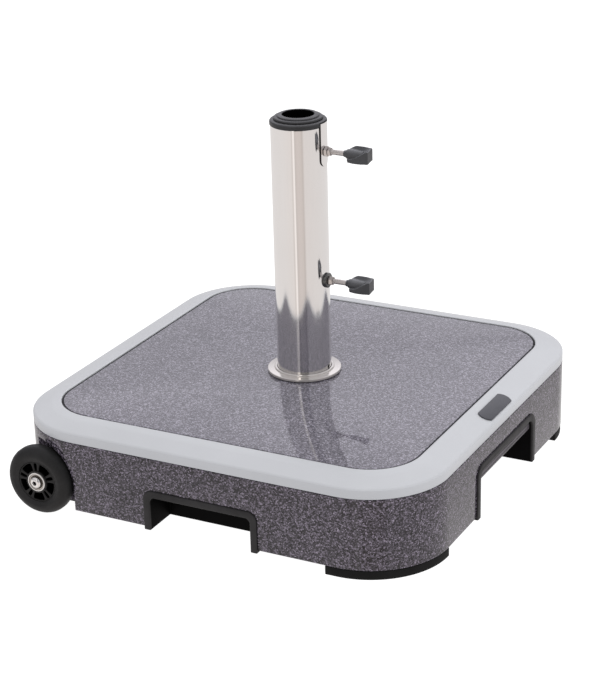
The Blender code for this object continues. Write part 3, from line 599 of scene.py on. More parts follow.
def build_materials():
    MATERIALS.update({
        "granite_dark": granite("granite_dark", (0.061, 0.053, 0.067), 0.08, 1.0),
        "granite_polished": granite("granite_polished", (0.150, 0.143, 0.168), 0.04, 0.5),
        "rim_light_grey": painted("rim_light_grey", (0.50, 0.512, 0.535)),
        "seal_black": moulded("seal_black", (0.012, 0.012, 0.013), 0.6),
        "badge_grey": moulded("badge_grey", (0.050, 0.051, 0.060), 0.36, 900.0, 0.05, 1.15, 0.4),
        # painted shade inside the pockets
        "liner_black": moulded("liner_black", (0.020, 0.019, 0.020), 0.5, hollow=shade_in_pocket),
        "grip_grey": moulded("grip_grey", (0.078, 0.070, 0.080), 0.42, 1300.0, 0.2),
        "foot_black": moulded("foot_black", (0.008, 0.008, 0.008), 0.6, 900.0, 0.2, shine=0.12),
        "tyre_black": moulded("tyre_black", (0.014, 0.0138, 0.0142), 0.5, 700.0, 0.1),
        # painted shade deep in the wheel core's windows
        "core_black": moulded("core_black", (0.018, 0.0175, 0.0175), 0.42,
                              hollow=shade_past_face(outmost_y("wheel_core_front") - 1.2, 2.0)),
        # painted shade in the bearings' gap and groove
        "bearing_steel": steel("bearing_steel", (0.76, 0.74, 0.72), 0.2, metallic=0.5,
                               shade_marks=bearing_rings),
        "bolt_steel": steel("bolt_steel", (0.80, 0.77, 0.75), 0.20, metallic=0.75),
        "dark_steel": steel("dark_steel", (0.16, 0.16, 0.155), 0.36),
        "anchor_brass": steel("anchor_brass", (0.62, 0.47, 0.22), 0.32),
        "tube_steel": mirror_tube("tube_steel"),
        # the strap's edges get painted shade
        "strap_steel": mirror_tube("strap_steel", edge=True),
        "ring_steel": steel("ring_steel", (0.68, 0.645, 0.615), 0.08, metallic=0.70, bump=0.01),
        # painted shade down the caps' bore, painted light on faces that look up
        "cap_black": moulded("cap_black", (0.030, 0.030, 0.032), 0.40, 1500.0, 0.12, 1.25,
                             hollow=shade_in_bore(17.8, 0.7), top_light=1.3),
        "screw_steel": steel("screw_steel", (0.56, 0.52, 0.50), 0.22, (0.05, 1.0, 1.0), 0.5),
        # painted light on the knob's faces that look up, painted shade on the rest
        "knob_black": moulded("knob_black", (0.050, 0.051, 0.055), 0.38, 1500.0, 0.10, 1.3, 0.4,
                              top_light=1.6),
        "nut_steel": steel("nut_steel", (0.60, 0.55, 0.52), 0.15, metallic=0.9, drift=0.15),
        # painted shade down the axle bolt's hex socket
        "axle_steel": steel("axle_steel", (0.92, 0.90, 0.88), 0.20, metallic=0.75,
                            shade_marks=shade_past_face(outmost_y("axle_bolt_front") - 1.9, 0.6)),
        "pad_black": moulded("pad_black", (0.03, 0.03, 0.03), 0.5),
    })


def as_piece(obj, slot, node, body="base", finish=None):
    """Give a new piece its finish and its place in the frame."""
    obj.data.materials.clear()
    obj.data.materials.append(MATERIALS[finish or slot])
    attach(obj, body)
    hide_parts(node)


# ---- block and top ----
def pocket_outline(half, top, radius, low):
    points = [(-half, low), (half, low), (half, top), (-half, top)]
    return fillet(points, [0.0, 0.0, radius, radius], 10)


def facing(face):
    """Axes of a slab standing on one side of the block, depth from centre."""
    return {
        "front": lambda a, b, s: (a, -s, b),
        "rear": lambda a, b, s: (-a, s, b),
        "side": along_x,
    }[face]


def pockets():
    """Each pocket's side, liner node, half width, top, back wall, front and radius."""
    made = []
    for face, node, radius in (("front", "carry_handle_liner_front", CARRY_R),
                               ("rear", "carry_handle_liner_rear", CARRY_R),
                               ("side", "pull_handle_liner", PULL_R)):
        lo, hi = span(node)
        along = 1 if face == "side" else 0
        depth = 0 if face == "side" else 1
        near, far = sorted((abs(lo[depth]), abs(hi[depth])))
        made.append((face, node, (hi[along] - lo[along]) / 2.0, lo.z, hi.z, near, far, radius))
    return made


def wheel_place(tag):
    """Axle x and z, the tyre's mid plane and the side's sign."""
    lo, hi = span("wheel_tyre_" + tag)
    mid = (lo + hi) / 2.0
    return mid.x, mid.z, abs(mid.y), (-1 if tag == "front" else 1)


def well_tool(tag):
    x, z, _, side = wheel_place(tag)
    steps = 72
    outline = [(x + WELL_R * math.cos(math.pi * k / steps), z + WELL_R * math.sin(math.pi * k / steps))
               for k in range(steps + 1)]
    outline += [(x - WELL_R, -5.0), (x + WELL_R, -5.0)]
    return prism("well", outline, WELL_FLOOR_Y, HALF + 20.0, outwards(side))


def soften_arches(block):
    """Polished chamfer along the wheel wells' curved and upright edges."""
    def on_well(vert, x, z, side, curved):
        px, py, pz = vert.co / MM
        away = math.hypot(px - x, pz - z) if curved else abs(px - x)
        level = pz > z - 0.5 if curved else pz < z + 0.5
        return abs(away - WELL_R) < 0.3 and level and side * py > WELL_FLOOR_Y + 0.2

    wells = [wheel_place(tag) for tag in ("front", "rear")]
    bm = bmesh.new()
    bm.from_mesh(block.data)
    bmesh.ops.remove_doubles(bm, verts=bm.verts, dist=0.25 * MM)
    weight = bm.edges.layers.float.new("bevel_weight_edge")
    for edge in bm.edges:
        if len(edge.link_faces) == 2 and edge.calc_face_angle() >= math.radians(30.0):
            if any(all(on_well(v, x, z, side, curved) for v in edge.verts)
                   for x, z, _, side in wells for curved in (True, False)):
                edge[weight] = 1.0
    bm.to_mesh(block.data)
    bm.free()
    mod = block.modifiers.new("arch", "BEVEL")
    mod.limit_method = "WEIGHT"
    mod.width = 1.0 * MM
    mod.segments = 2
    mod.use_clamp_overlap = False
    bake(block)


def build_block():
    lo, hi = span("ballast_block")
    turn = [math.pi / 2.0 * k / 4 for k in range(5)]
    bends = [(BLOCK_EDGE * (1.0 - math.sin(a)), BLOCK_EDGE * (1.0 - math.cos(a))) for a in turn]
    loops = [(a, lo.z + b) for a, b in bends] + [(b, hi.z - a) for a, b in bends]
    block = loft("stone_block", [rounded_square(HALF - i, CORNER_R - i, z) for i, z in loops], False)
    for face, _, half, low, top, near, far, radius in pockets():
        outline = pocket_outline(half + GAP, top + GAP, radius + GAP, low)
        boolean(block, prism("pocket", outline, near - GAP, far + 10.0, facing(face)))
    for tag in ("front", "rear"):
        boolean(block, well_tool(tag))
        x, z, _, side = wheel_place(tag)
        inner = min(abs(v.y) for v in span("axle_anchor_" + tag)) - 2.0
        boolean(block, cylinder_tool(about_y(x, z, side), half_x("axle_anchor_" + tag) + GAP, inner,
                                     WELL_FLOOR_Y + 2.0))
    boolean(block, cylinder_tool(about_z(), TUBE_R + 0.4, 5.0, 100.0, HUB_STEPS))
    boolean(block, cylinder_tool(about_z(), span("tube_foot_plate")[1].x + 4.0, 5.0,
                                 span("pole_tube")[0].z, HUB_STEPS))
    for k in range(4):
        b_lo, b_hi = span("foot_plate_bolt_%d" % (k + 1))
        mid = (b_lo + b_hi) / 2.0
        boolean(block, cylinder_tool(about_z(mid.x, mid.y), 4.4, 15.0, b_hi.z + 2.0, 32))
    soften_arches(block)
    as_piece(shade(block, 28.0), "granite_dark", "ballast_block")


def build_rim():
    lo, hi = span("rim_frame")
    inner = HALF - RIM_INSIDE
    corners = [(0.0, lo.z + 0.4), (0.0, RIM_SHOULDER - 1.4), (RIM_SHOULDER_INSET, RIM_SHOULDER),
               (RIM_MID_INSET, RIM_MID), (inner - 1.7, hi.z), (inner - 0.3, hi.z - 0.35),
               (inner, hi.z - 1.6)]
    profile = [(0.3, lo.z)] + fillet(corners, [0.0, 1.1, 1.6, 30.0, 3.0, 0.5, 0.0], 6, closed=False)
    profile.append((inner, lo.z))
    as_piece(shade(square_ring("rim_band", profile), 40.0), "rim_light_grey", "rim_frame")


def build_top():
    s_lo, s_hi = span("joint_seal")
    p_lo, p_hi = span("top_plate")
    inset_out = HALF - s_hi.x
    inset_in = HALF - p_hi.x - GAP
    mid = (inset_out + inset_in) / 2.0
    profile = [(inset_out, s_lo.z), (inset_out, s_hi.z - 0.35), (inset_out + 0.3, s_hi.z - 0.05),
               (mid, s_hi.z), (inset_in - 0.3, s_hi.z - 0.05), (inset_in, s_hi.z - 0.35),
               (inset_in, s_lo.z)]
    as_piece(shade(square_ring("joint_bead", profile), 50.0), "seal_black", "joint_seal")

    half = p_hi.x
    edge = 0.6
    hole = TUBE_R + 0.4
    outer = []
    for inset, z in ((0.0, p_lo.z), (0.0, p_hi.z - edge), (0.08, p_hi.z - 0.3),
                     (0.3, p_hi.z - 0.08), (edge, p_hi.z)):
        outer.append(rounded_square(half - inset, CORNER_R - (HALF - half) - inset, z))
    centre = []
    for z in (p_hi.z, p_lo.z):
        loop = []
        for x, y, _ in outer[0]:
            a = math.atan2(y, x)
            loop.append((hole * math.cos(a), hole * math.sin(a), z))
        centre.append(loop)
    plate = loft("stone_top", outer + centre, True)
    as_piece(shade(plate, 32.0), "granite_polished", "top_plate")


def build_badge():
    lo, hi = span("badge")
    half_len = (hi.y - lo.y) / 2.0
    half_wid = 8.8
    bulge = 4.5
    bow = (half_wid ** 2 + bulge ** 2) / (2.0 * bulge)
    spread = math.asin(half_wid / bow)
    outline = []
    for sign in (1, -1):
        for k in range(17):
            a = -spread + 2.0 * spread * k / 16
            outline.append((-sign * bow * math.sin(a), sign * (half_len - bow + bow * math.cos(a))))
    outline = fillet(outline, [2.6 if k in (0, 16, 17, 33) else 0.0 for k in range(34)], 4)
    # The label lies on the rim's slope, so its axes follow the CAD node's longest face.
    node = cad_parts["badge"].data
    top = max(node.polygons, key=lambda face: face.area * (face.normal.z > 0.0))
    normal = Vector(top.normal)
    along = Vector((0.0, 1.0, 0.0))
    across = along.cross(normal).normalized()
    on_plane = Vector(top.center) / MM
    centre = (lo + hi) / 2.0
    centre.z = on_plane.z - (normal.x * (centre.x - on_plane.x)
                             + normal.y * (centre.y - on_plane.y)) / normal.z
    loops = []
    thick = 1.2
    for inset, drop in ((0.3, -thick), (0.0, -thick + 0.25), (0.0, -0.75), (0.12, -0.42),
                        (0.42, -0.12), (0.9, 0.0)):
        loop = []
        for a, b in outline:
            away = Vector((a, b))
            away *= 1.0 - inset / max(away.length, 1.0)
            loop.append(centre + across * away.x + along * away.y + normal * drop)
        loops.append(loop)
    as_piece(shade(loft("name_plate", loops, False), 50.0), "badge_grey", "badge")


def build_liners():
    for face, node, half, low, top, near, far, radius in pockets():
        liner = prism(node + "_shell", pocket_outline(half, top, radius, low), near, far,
                      facing(face))
        hollow = pocket_outline(half - LINER_WALL, top - LINER_WALL, radius - LINER_INNER_R, -5.0)
        boolean(liner, prism("hollow", hollow, near + LINER_BACK, far + 10.0, facing(face)))
        bevel(liner, 1.1, 3)
        as_piece(shade(liner, 35.0), "liner_black", node)


def build_grip():
    lo, hi = span("pull_grip_bar")
    groove = 0.5
    corners = [(lo.x, lo.z), (hi.x, lo.z), (hi.x, hi.z), (lo.x, hi.z)]
    bar = prism("pull_grip", fillet(corners, 3.5, 8), lo.y - 5.0, hi.y + 5.0,
                along_y)
    for height in (0.36, 0.64):
        z = lo.z + (hi.z - lo.z) * height
        rib = fillet([(hi.x - groove, z - 0.55), (hi.x + 2.0, z - 0.55), (hi.x + 2.0, z + 0.55),
                      (hi.x - groove, z + 0.55)], [0.4, 0.0, 0.0, 0.4], 3)
        boolean(bar, prism("groove", rib, lo.y - 8.0, hi.y + 8.0, along_y))
    _, _, half, _, top, _, _, radius = pockets()[2]
    inner = pocket_outline(half - LINER_WALL - GAP, top - LINER_WALL - GAP,
                           radius - LINER_INNER_R - GAP, 0.0)
    boolean(bar, prism("fit", inner, 200.0, 260.0, facing("side")), "INTERSECT")
    as_piece(shade(bar, 35.0), "grip_grey", "pull_grip_bar")


def build_feet():
    for tag, side in (("front", -1), ("rear", 1)):
        node = "corner_foot_" + tag
        lo, hi = span(node)
        x_end = lo.x
        y_end = min(abs(lo.y), abs(hi.y))
        outer = max(abs(lo.y), abs(hi.y))
        centre = HALF - CORNER_R
        r_out = outer - centre
        r_in = r_out - FOOT_WIDTH
        arc = [math.pi / 2.0 * k / CORNER_STEPS for k in range(CORNER_STEPS + 1)]
        points = [(x_end, outer)]
        points += [(centre + r_out * math.sin(a), centre + r_out * math.cos(a)) for a in arc]
        points += [(outer, y_end), (outer - FOOT_WIDTH, y_end)]
        points += [(centre + r_in * math.cos(a), centre + r_in * math.sin(a)) for a in arc]
        points += [(x_end, outer - FOOT_WIDTH)]
        foot = prism(node + "_pad", points, lo.z, FOOT_HEIGHT, lambda a, b, s: (a, side * b, s))
        bevel(foot, 0.9, 3)
        as_piece(shade(foot, 35.0), "foot_black", node)


# ---- wheels ----
def tyre_profile(mid, radius, half_width, core_r):
    half = [(radius, 0.0), (radius, half_width - 9.8), (radius - 0.35, half_width - 8.0),
            (radius - 1.2, half_width - 5.9), (radius - 2.5, half_width - 3.9),
            (radius - 4.3, half_width - 2.1), (radius - 6.4, half_width - 0.9),
            (radius - 9.0, half_width - 0.2), (core_r + 5.6, half_width),
            (core_r + 5.0, half_width - 0.3), (core_r + 3.4, half_width - 0.7),
            (core_r + 1.8, half_width - 1.3), (core_r + 0.8, half_width - 1.8),
            (core_r + GAP, half_width - 2.1)]
    profile = [(r, mid + s) for r, s in half]
    return profile + [(r, mid - s) for r, s in reversed(half[1:])]


def build_wheel(tag):
    x, z, mid, side = wheel_place(tag)
    body = "wheel_" + tag
    place = about_y(x, z, side)
    t_lo, t_hi = span("wheel_tyre_" + tag)
    c_lo, c_hi = span("wheel_core_" + tag)
    radius = (t_hi.z - t_lo.z) / 2.0
    half_width = (t_hi.y - t_lo.y) / 2.0
    core_r = (c_hi.z - c_lo.z) / 2.0
    tyre = turned("tyre_" + tag, tyre_profile(mid, radius, half_width, core_r), place, CAP_STEPS)
    as_piece(shade(tyre, 45.0), "tyre_black", "wheel_tyre_" + tag, body)

    hub_face = (c_hi.y - c_lo.y) / 2.0
    hub_r = 12.9
    rim_r = 22.3
    bearing_r = half_x("bearing_outer_outboard_" + tag)
    ledge = 3.9
    web = 7.8
    face = 9.6
    hub = [(bearing_r - 2.2, ledge), (bearing_r + GAP, ledge), (bearing_r + GAP, hub_face),
           (hub_r, hub_face), (hub_r + 0.4, web - 1.0), (hub_r + 0.4, -web + 1.0),
           (hub_r, -hub_face), (bearing_r + GAP, -hub_face), (bearing_r + GAP, -ledge),
           (bearing_r - 2.2, -ledge)]
    core = turned("core_" + tag, [(r, mid + s) for r, s in fillet(hub, 0.5, 3)], place, HUB_STEPS)
    ring = [(core_r, face - 0.3), (core_r, -face + 0.3), (core_r - 0.4, -face),
            (rim_r, -face), (rim_r - 0.2, -web), (rim_r - 0.2, web), (rim_r, face),
            (core_r - 0.4, face)]
    boolean(core, turned("ring", [(r, mid + s) for r, s in fillet(ring, 0.4, 3)], place, HUB_STEPS),
            "UNION")
    for pair in range(SPOKE_PAIRS):
        for sign in (-1, 1):
            middle = math.radians(93.0 + pair * 360.0 / SPOKE_PAIRS)
            near = middle + sign * math.radians(5.5)
            far = middle + sign * math.radians(15.5)
            outline = []
            for r, edge in ((hub_r - 0.4, 1.35), (14.6, 1.0), (17.6, 0.86), (20.6, 1.0),
                            (rim_r + 0.4, 1.35)):
                centre = (near + far) / 2.0
                half = abs(far - near) / 2.0 * edge
                outline.append((r, centre - half, centre + half))
            points = [(x + r * math.cos(a), z + r * math.sin(a)) for r, a, _ in outline]
            points += [(x + r * math.cos(b), z + r * math.sin(b)) for r, _, b in outline[::-1]]
            spoke = prism("spoke", points, mid - face + 0.3, mid + face - 0.3,
                          outwards(side))
            bevel(spoke, 0.4, 2, 60.0)
            boolean(core, spoke, "UNION")
    as_piece(shade(core, 35.0), "core_black", "wheel_core_" + tag, body)


def build_bearings(tag):
    x, z, _, side = wheel_place(tag)
    place = about_y(x, z, side)
    for row in ("outboard", "inboard"):
        for ring, body in (("outer", "wheel_" + tag), ("inner", "base")):
            node = "bearing_%s_%s_%s" % (ring, row, tag)
            lo, hi = span(node)
            near, far = sorted((side * lo.y, side * hi.y))
            r1 = half_x(node)
            if ring == "outer":
                r0 = 7.9                    # inside of the outer ring and its seal
                profile = [(r1, near), (r1, far), (r1 - 1.5, far), (r1 - 1.7, far - 0.55),
                           (r0, far - 0.7), (r0, near + 0.7), (r1 - 1.7, near + 0.55),
                           (r1 - 1.5, near)]
                rounds = [0.4, 0.4, 0.15, 0.0, 0.1, 0.1, 0.0, 0.15]
            else:
                r0 = 4.1
                profile = [(r1, near + 0.3), (r1, far - 0.3), (r1 - 1.2, far), (r0, far), (r0, near),
                           (r1 - 1.2, near)]
                rounds = [0.2, 0.2, 0.2, 0.3, 0.3, 0.2]
            obj = turned(node + "_race", fillet(profile, rounds, 3), place, HUB_STEPS)
            as_piece(shade(obj, 30.0), "bearing_steel", node, body)


def build_axle_bolt(tag):
    x, z, _, side = wheel_place(tag)
    place = about_y(x, z, side)
    lo, hi = span("axle_bolt_" + tag)
    inner, outer = sorted((side * lo.y, side * hi.y))
    head = outer - 3.4
    profile = [(0.0, outer), (3.6, outer), (5.0, outer - 0.55), (6.1, outer - 1.5),
               (6.7, outer - 2.6), (6.8, head + 0.3), (6.6, head), (3.9, head),
               (3.9, inner + 0.8), (3.1, inner), (0.0, inner)]
    bolt = turned("bolt_" + tag, profile, place, 72)
    socket = cylinder_tool(place, 2.9, outer - 2.6, outer + 3.0, 6)
    boolean(bolt, socket)
    as_piece(shade(bolt, 38.0), "bolt_steel", "axle_bolt_" + tag, finish="axle_steel")


# ---- pole tube ----
def build_tube():
    lo, hi = span("pole_tube")
    bore = TUBE_BORE_R
    profile = [(TUBE_R, lo.z), (TUBE_R, hi.z - 0.35), (TUBE_R - 0.12, hi.z - 0.1),
               (TUBE_R - 0.35, hi.z), (bore + 0.35, hi.z), (bore + 0.1, hi.z - 0.1),
               (bore, hi.z - 0.35), (bore, lo.z)]
    tube = turned("steel_tube", profile, about_z(), ROUND_STEPS)
    holes = [(SCREW_HOLE_R, mid_z(row + "_clamp_screw")) for row in ("upper", "lower")]
    for r, z in [(DRAIN_R, DRAIN_Z)] + holes:
        boolean(tube, cylinder_tool(about_x(0.0, z), r, 10.0, 60.0, PIN_STEPS))
    shade(tube, 30.0)
    true_round(tube, TUBE_R, bore)
    as_piece(tube, "tube_steel", "pole_tube")


def build_rosette():
    lo, hi = span("base_rosette")
    inner = TUBE_R + 0.4
    flat = lo.z + 3.0
    corners = [(inner, hi.z), (inner + 1.9, hi.z), (inner + 2.9, hi.z - 1.0), (inner + 2.9, flat),
               (hi.x, flat - 0.05), (hi.x, lo.z), (inner, lo.z)]
    profile = fillet(corners, [0.3, 0.7, 0.8, 0.5, 0.7, 0.3, 0.0], 4)
    ring = turned("foot_ring", profile, about_z(), ROUND_STEPS)
    as_piece(shade(ring, 40.0), "tube_steel", "base_rosette", finish="ring_steel")


def build_sleeves():
    lo, hi = span("outer_reducer_sleeve")
    mouth = span("pole_tube")[1].z + GAP
    outer = [(25.2, hi.z - 1.4), (27.2, hi.z - 0.1), (29.4, hi.z), (31.2, hi.z - 0.7),
             (32.0, hi.z - 1.9), (32.0, mouth), (29.3, mouth), (29.3, lo.z), (25.2, lo.z)]
    m_lo, m_hi = span("middle_reducer_sleeve")
    middle = [(21.3, m_hi.z - 0.9), (23.4, m_hi.z), (25.4, m_hi.z), (26.8, m_hi.z - 0.5),
              (27.4, m_hi.z - 1.3), (27.4, m_hi.z - 2.6), (24.9, m_hi.z - 3.8), (24.9, m_lo.z),
              (21.3, m_lo.z)]
    i_lo, i_hi = span("inner_reducer_sleeve")
    inner = [(17.6, i_hi.z - 0.7), (18.3, i_hi.z), (20.6, i_hi.z), (22.9, i_hi.z - 0.6),
             (23.6, i_hi.z - 1.5), (23.5, i_hi.z - 1.9), (21.0, i_hi.z - 2.4), (21.0, i_lo.z),
             (17.6, i_lo.z)]
    for node, corners, rounds in (
            ("outer_reducer_sleeve", outer, [0.3, 0.8, 1.2, 0.8, 0.5, 0.3, 0.2, 0.3, 0.3]),
            ("middle_reducer_sleeve", middle, [0.3, 0.6, 0.8, 0.5, 0.4, 0.4, 0.2, 0.3, 0.3]),
            ("inner_reducer_sleeve", inner, [0.3, 0.4, 1.0, 0.5, 0.2, 0.2, 0.2, 0.3, 0.3])):
        body = turned(node + "_cap", fillet(corners, rounds, 4), about_z(), CAP_STEPS)
        boolean(body, box_tool((10.0, -7.0, lo.z - 10.0), (40.0, 7.0, CAP_SLOT_TOP)))
        if node.startswith("outer"):
            s_lo, s_hi = span("upper_clamp_strap")
            ring = turned("notch", [(40.0, 390.0), (40.0, 420.0), (STRAP_R - GAP, 420.0),
                                    (STRAP_R - GAP, 390.0)], about_z(), CAP_STEPS)
            boolean(ring, box_tool((20.0, s_lo.y - GAP, 380.0), (45.0, s_hi.y + GAP, 425.0)),
                    "INTERSECT")
            boolean(body, ring)
        as_piece(shade(body, 36.0), "cap_black", node)


# ---- clamp screws ----
def build_strap():
    lo, hi = span("upper_clamp_strap")
    half = hi.y
    profile = [(hi.x, hi.z), (STRAP_R, hi.z), (STRAP_R, lo.z - 8.0), (hi.x, lo.z - 8.0)]
    strap = turned("clamp_strap", profile, about_z(), ROUND_STEPS)
    outline = [(half, hi.z + 10.0), (-half, hi.z + 10.0)]
    outline += [(half * math.cos(a), lo.z + half + half * math.sin(a))
                for a in (math.pi + math.pi * k / 32 for k in range(33))]
    tab = prism("tab", outline, 10.0, 50.0, along_x)
    boolean(strap, tab, "INTERSECT")
    hole = about_x(0.0, mid_z("upper_clamp_screw"))
    boolean(strap, cylinder_tool(hole, SCREW_HOLE_R, 10.0, 60.0, PIN_STEPS))
    shade(strap, 30.0)
    true_round(strap, STRAP_R, hi.x)
    as_piece(strap, "tube_steel", "upper_clamp_strap", finish="strap_steel")


def build_nuts():
    for node in ("upper_clamp_nut", "upper_lock_nut", "lower_clamp_nut"):
        lo, hi = span(node)
        z = (lo.z + hi.z) / 2.0
        corner = (hi.z - lo.z) / 2.0
        cham = 0.7
        flat = corner * math.cos(math.pi / 6.0)
        hexagon = [(corner * math.sin(math.pi / 3.0 * k), z + corner * math.cos(math.pi / 3.0 * k))
                   for k in range(6)]
        nut = prism(node + "_hex", hexagon, lo.x, hi.x, along_x)
        barrel = turned("barrel", [(0.0, lo.x), (flat - 0.1, lo.x), (corner + 0.4, lo.x + cham),
                                   (corner + 0.4, hi.x - cham), (flat - 0.1, hi.x), (0.0, hi.x)],
                        about_x(0.0, z), 72)
        boolean(nut, barrel, "INTERSECT")
        bore = turned("bore", [(0.0, lo.x - 1.0), (3.9, lo.x - 1.0), (3.9, lo.x),
                               (3.3, lo.x + 0.6), (3.3, hi.x - 0.6), (3.9, hi.x), (3.9, hi.x + 1.0),
                               (0.0, hi.x + 1.0)], about_x(0.0, z), PIN_STEPS)
        boolean(nut, bore)
        as_piece(shade(nut, 22.0), "bolt_steel", node, finish="nut_steel")


def build_saddle():
    lo, hi = span("lower_saddle_washer")
    z = (lo.z + hi.z) / 2.0
    profile = fillet([(3.3, 26.0), (hi.y, 26.0), (hi.y, hi.x), (3.3, hi.x)],
                     [0.0, 0.0, 0.7, 0.3], 3)
    saddle = turned("saddle_disc", profile, about_x(0.0, z), 72)
    boolean(saddle, cylinder_tool(about_z(), TUBE_R + GAP, z - 30.0, z + 30.0, ROUND_STEPS))
    as_piece(shade(saddle, 30.0), "dark_steel", "lower_saddle_washer")


def wing_section(half_height, half_width, ridge, scoop, rim=1.8, chamfer=0.7, steps=10):
    """Half-turn symmetric section of the knob's wing, scooped on two sides."""
    rim_y = half_width - rim
    half = [(half_width, half_height - chamfer), (half_width - chamfer, half_height),
            (rim_y, half_height)]
    dy = -half_width - rim_y
    dz = ridge - half_height
    run = math.hypot(dy, dz)
    for k in range(1, steps):
        t = k / steps
        sag = scoop * 4.0 * t * (1.0 - t)
        half.append((rim_y + dy * t - dz / run * sag, half_height + dz * t + dy / run * sag))
    half.append((-half_width, ridge))
    return half + [(-y, -z) for y, z in half]


def between(rows, x):
    """Row of numbers at station x, eased between the two nearest stations."""
    for low, high in zip(rows, rows[1:]):
        if low[0] <= x <= high[0]:
            t = (x - low[0]) / (high[0] - low[0])
            return [a + (b - a) * t for a, b in zip(low, high)]
    return list(rows[-1])


def build_knob(row):
    node = row + "_clamp_knob"
    lo, hi = span(node)
    z = (lo.z + hi.z) / 2.0
    loops = []
    stations = [5.4, 5.8, 6.2] + [7.0 + k for k in range(23)] + [30.0, 30.5, 31.0]
    for x in stations:
        _, height, width, ridge, scoop = between(WING_STATIONS, x)
        loops.append([(lo.x + x, a, z + b) for a, b in wing_section(height, width, ridge, scoop)])
    wing = loft(row + "_knob", loops, False)
    bm = bmesh.new()
    bm.from_mesh(wing.data)
    bmesh.ops.triangulate(bm, faces=[f for f in bm.faces if len(f.verts) > 4])
    bm.to_mesh(wing.data)
    bm.free()
    ramp = [(lo.x + 3.0, z + 4.2), (lo.x + 17.9, z + 12.0), (lo.x + 3.0, z + 12.0)]
    boolean(wing, prism("ramp", ramp, -14.0, 14.0, along_y))
    hub = [(0.0, 0.0), (3.8, 0.0), (3.8, 2.0), (4.4, 2.3), (5.4, 4.0), (6.3, 8.0), (5.8, 14.0),
           (4.7, 23.0), (0.0, 24.0)]
    boolean(wing, turned("hub", [(r, lo.x + s) for r, s in hub], about_x(0.0, z), PIN_STEPS), "UNION")
    remesh = wing.modifiers.new("remesh", "REMESH")
    remesh.mode = "VOXEL"
    remesh.voxel_size = 0.3 * MM
    bake(wing)
    soft = wing.modifiers.new("soft", "SMOOTH")
    soft.factor = 0.5
    soft.iterations = 7
    bake(wing)
    boolean(wing, cylinder_tool(about_x(0.0, z), 3.3, lo.x - 3.0, lo.x + 22.0, 40))
    as_piece(shade(wing, 50.0), "knob_black", node, row + "_screw")


def build_screw(row):
    """Plain shank with a rolled thread where it runs through the nuts."""
    node = row + "_clamp_screw"
    lo, hi = span(node)
    z = (lo.z + hi.z) / 2.0
    radius = hi.y
    neck_end = lo.x + 3.0
    stations = [(lo.x, 2.1), (neck_end, 2.1), (neck_end + 0.9, radius - THREAD_DEPTH)]
    steps = 40
    rows = [(s, r, False) for s, r in stations]
    count = int((THREAD_END - neck_end - 1.0) * 8.0 / THREAD_PITCH)
    rows += [(neck_end + 1.0 + k * THREAD_PITCH / 8.0, radius, True) for k in range(count)]
    rows += [(THREAD_END + 0.1, radius, False), (hi.x - 0.3, radius, False),
             (hi.x, radius - 0.3, False)]
    loops = []
    for s, r, cut in rows:
        loop = []
        for k in range(steps):
            a = 2.0 * math.pi * k / steps
            turn = (s / THREAD_PITCH - k / steps) % 1.0
            here = r - THREAD_DEPTH * abs(2.0 * turn - 1.0) if cut else r
            loop.append((s, here * math.cos(a), z + here * math.sin(a)))
        loops.append(loop)
    screw = loft(row + "_screw_shank", loops, False)
    as_piece(shade(screw, 45.0), "screw_steel", node, row + "_screw")


def build_pads():
    for row in ("upper", "lower"):
        node = row + "_pressure_pad"
        lo, hi = span(node)
        z = (lo.z + hi.z) / 2.0
        radius = hi.y
        profile = fillet([(0.0, hi.x - 1.0), (2.4, hi.x - 1.0), (2.4, hi.x), (radius, hi.x),
                          (radius, lo.x + 0.8), (radius - 0.8, lo.x), (0.0, lo.x)],
                         [0.0, 0.0, 0.2, 0.4, 0.4, 0.4, 0.0], 3, closed=False)
        pad = turned(row + "_pad_cap", profile, about_x(0.0, z), PIN_STEPS)
        as_piece(shade(pad, 40.0), "pad_black", node, row + "_pad")


# ---- carried-over CAD nodes ----
def dress_cad_nodes():
    """Hidden pieces keep their CAD shape and take the same finishes."""
    finish = {"rosette_gasket": "seal_black", "tube_foot_plate": "dark_steel"}
    finish.update({"foot_plate_bolt_%d" % k: "bolt_steel" for k in range(1, 5)})
    for tag in ("front", "rear"):
        finish.update({"standoff_bush_" + tag: "dark_steel", "axle_spacer_" + tag: "dark_steel",
                       "axle_anchor_" + tag: "anchor_brass"})
    for node, slot in finish.items():
        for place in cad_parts[node].material_slots:
            place.material = MATERIALS[slot]


# ---- camera and lights ----
def build_camera():
    data = bpy.data.cameras.new("camera")
    data.lens = CAMERA_LENS
    data.sensor_width = SENSOR
    data.clip_start = 0.05
    data.clip_end = 50.0
    camera = bpy.data.objects.new("camera", data)
    yaw, pitch, roll = (math.radians(v) for v in (CAMERA_YAW, CAMERA_PITCH, CAMERA_ROLL))
    ahead = Vector((math.sin(yaw) * math.cos(pitch), math.cos(yaw) * math.cos(pitch),
                    -math.sin(pitch)))
    right = Vector((math.cos(yaw), -math.sin(yaw), 0.0))
    up = right.cross(ahead)
    c, s = math.cos(roll), math.sin(roll)
    right, up = c * right + s * up, -s * right + c * up
    turn = Matrix((right, up, -ahead)).transposed().to_4x4()
    camera.matrix_world = Matrix.Translation(CAMERA_PLACE_M) @ turn
    bpy.context.scene.collection.objects.link(camera)
    bpy.context.scene.camera = camera


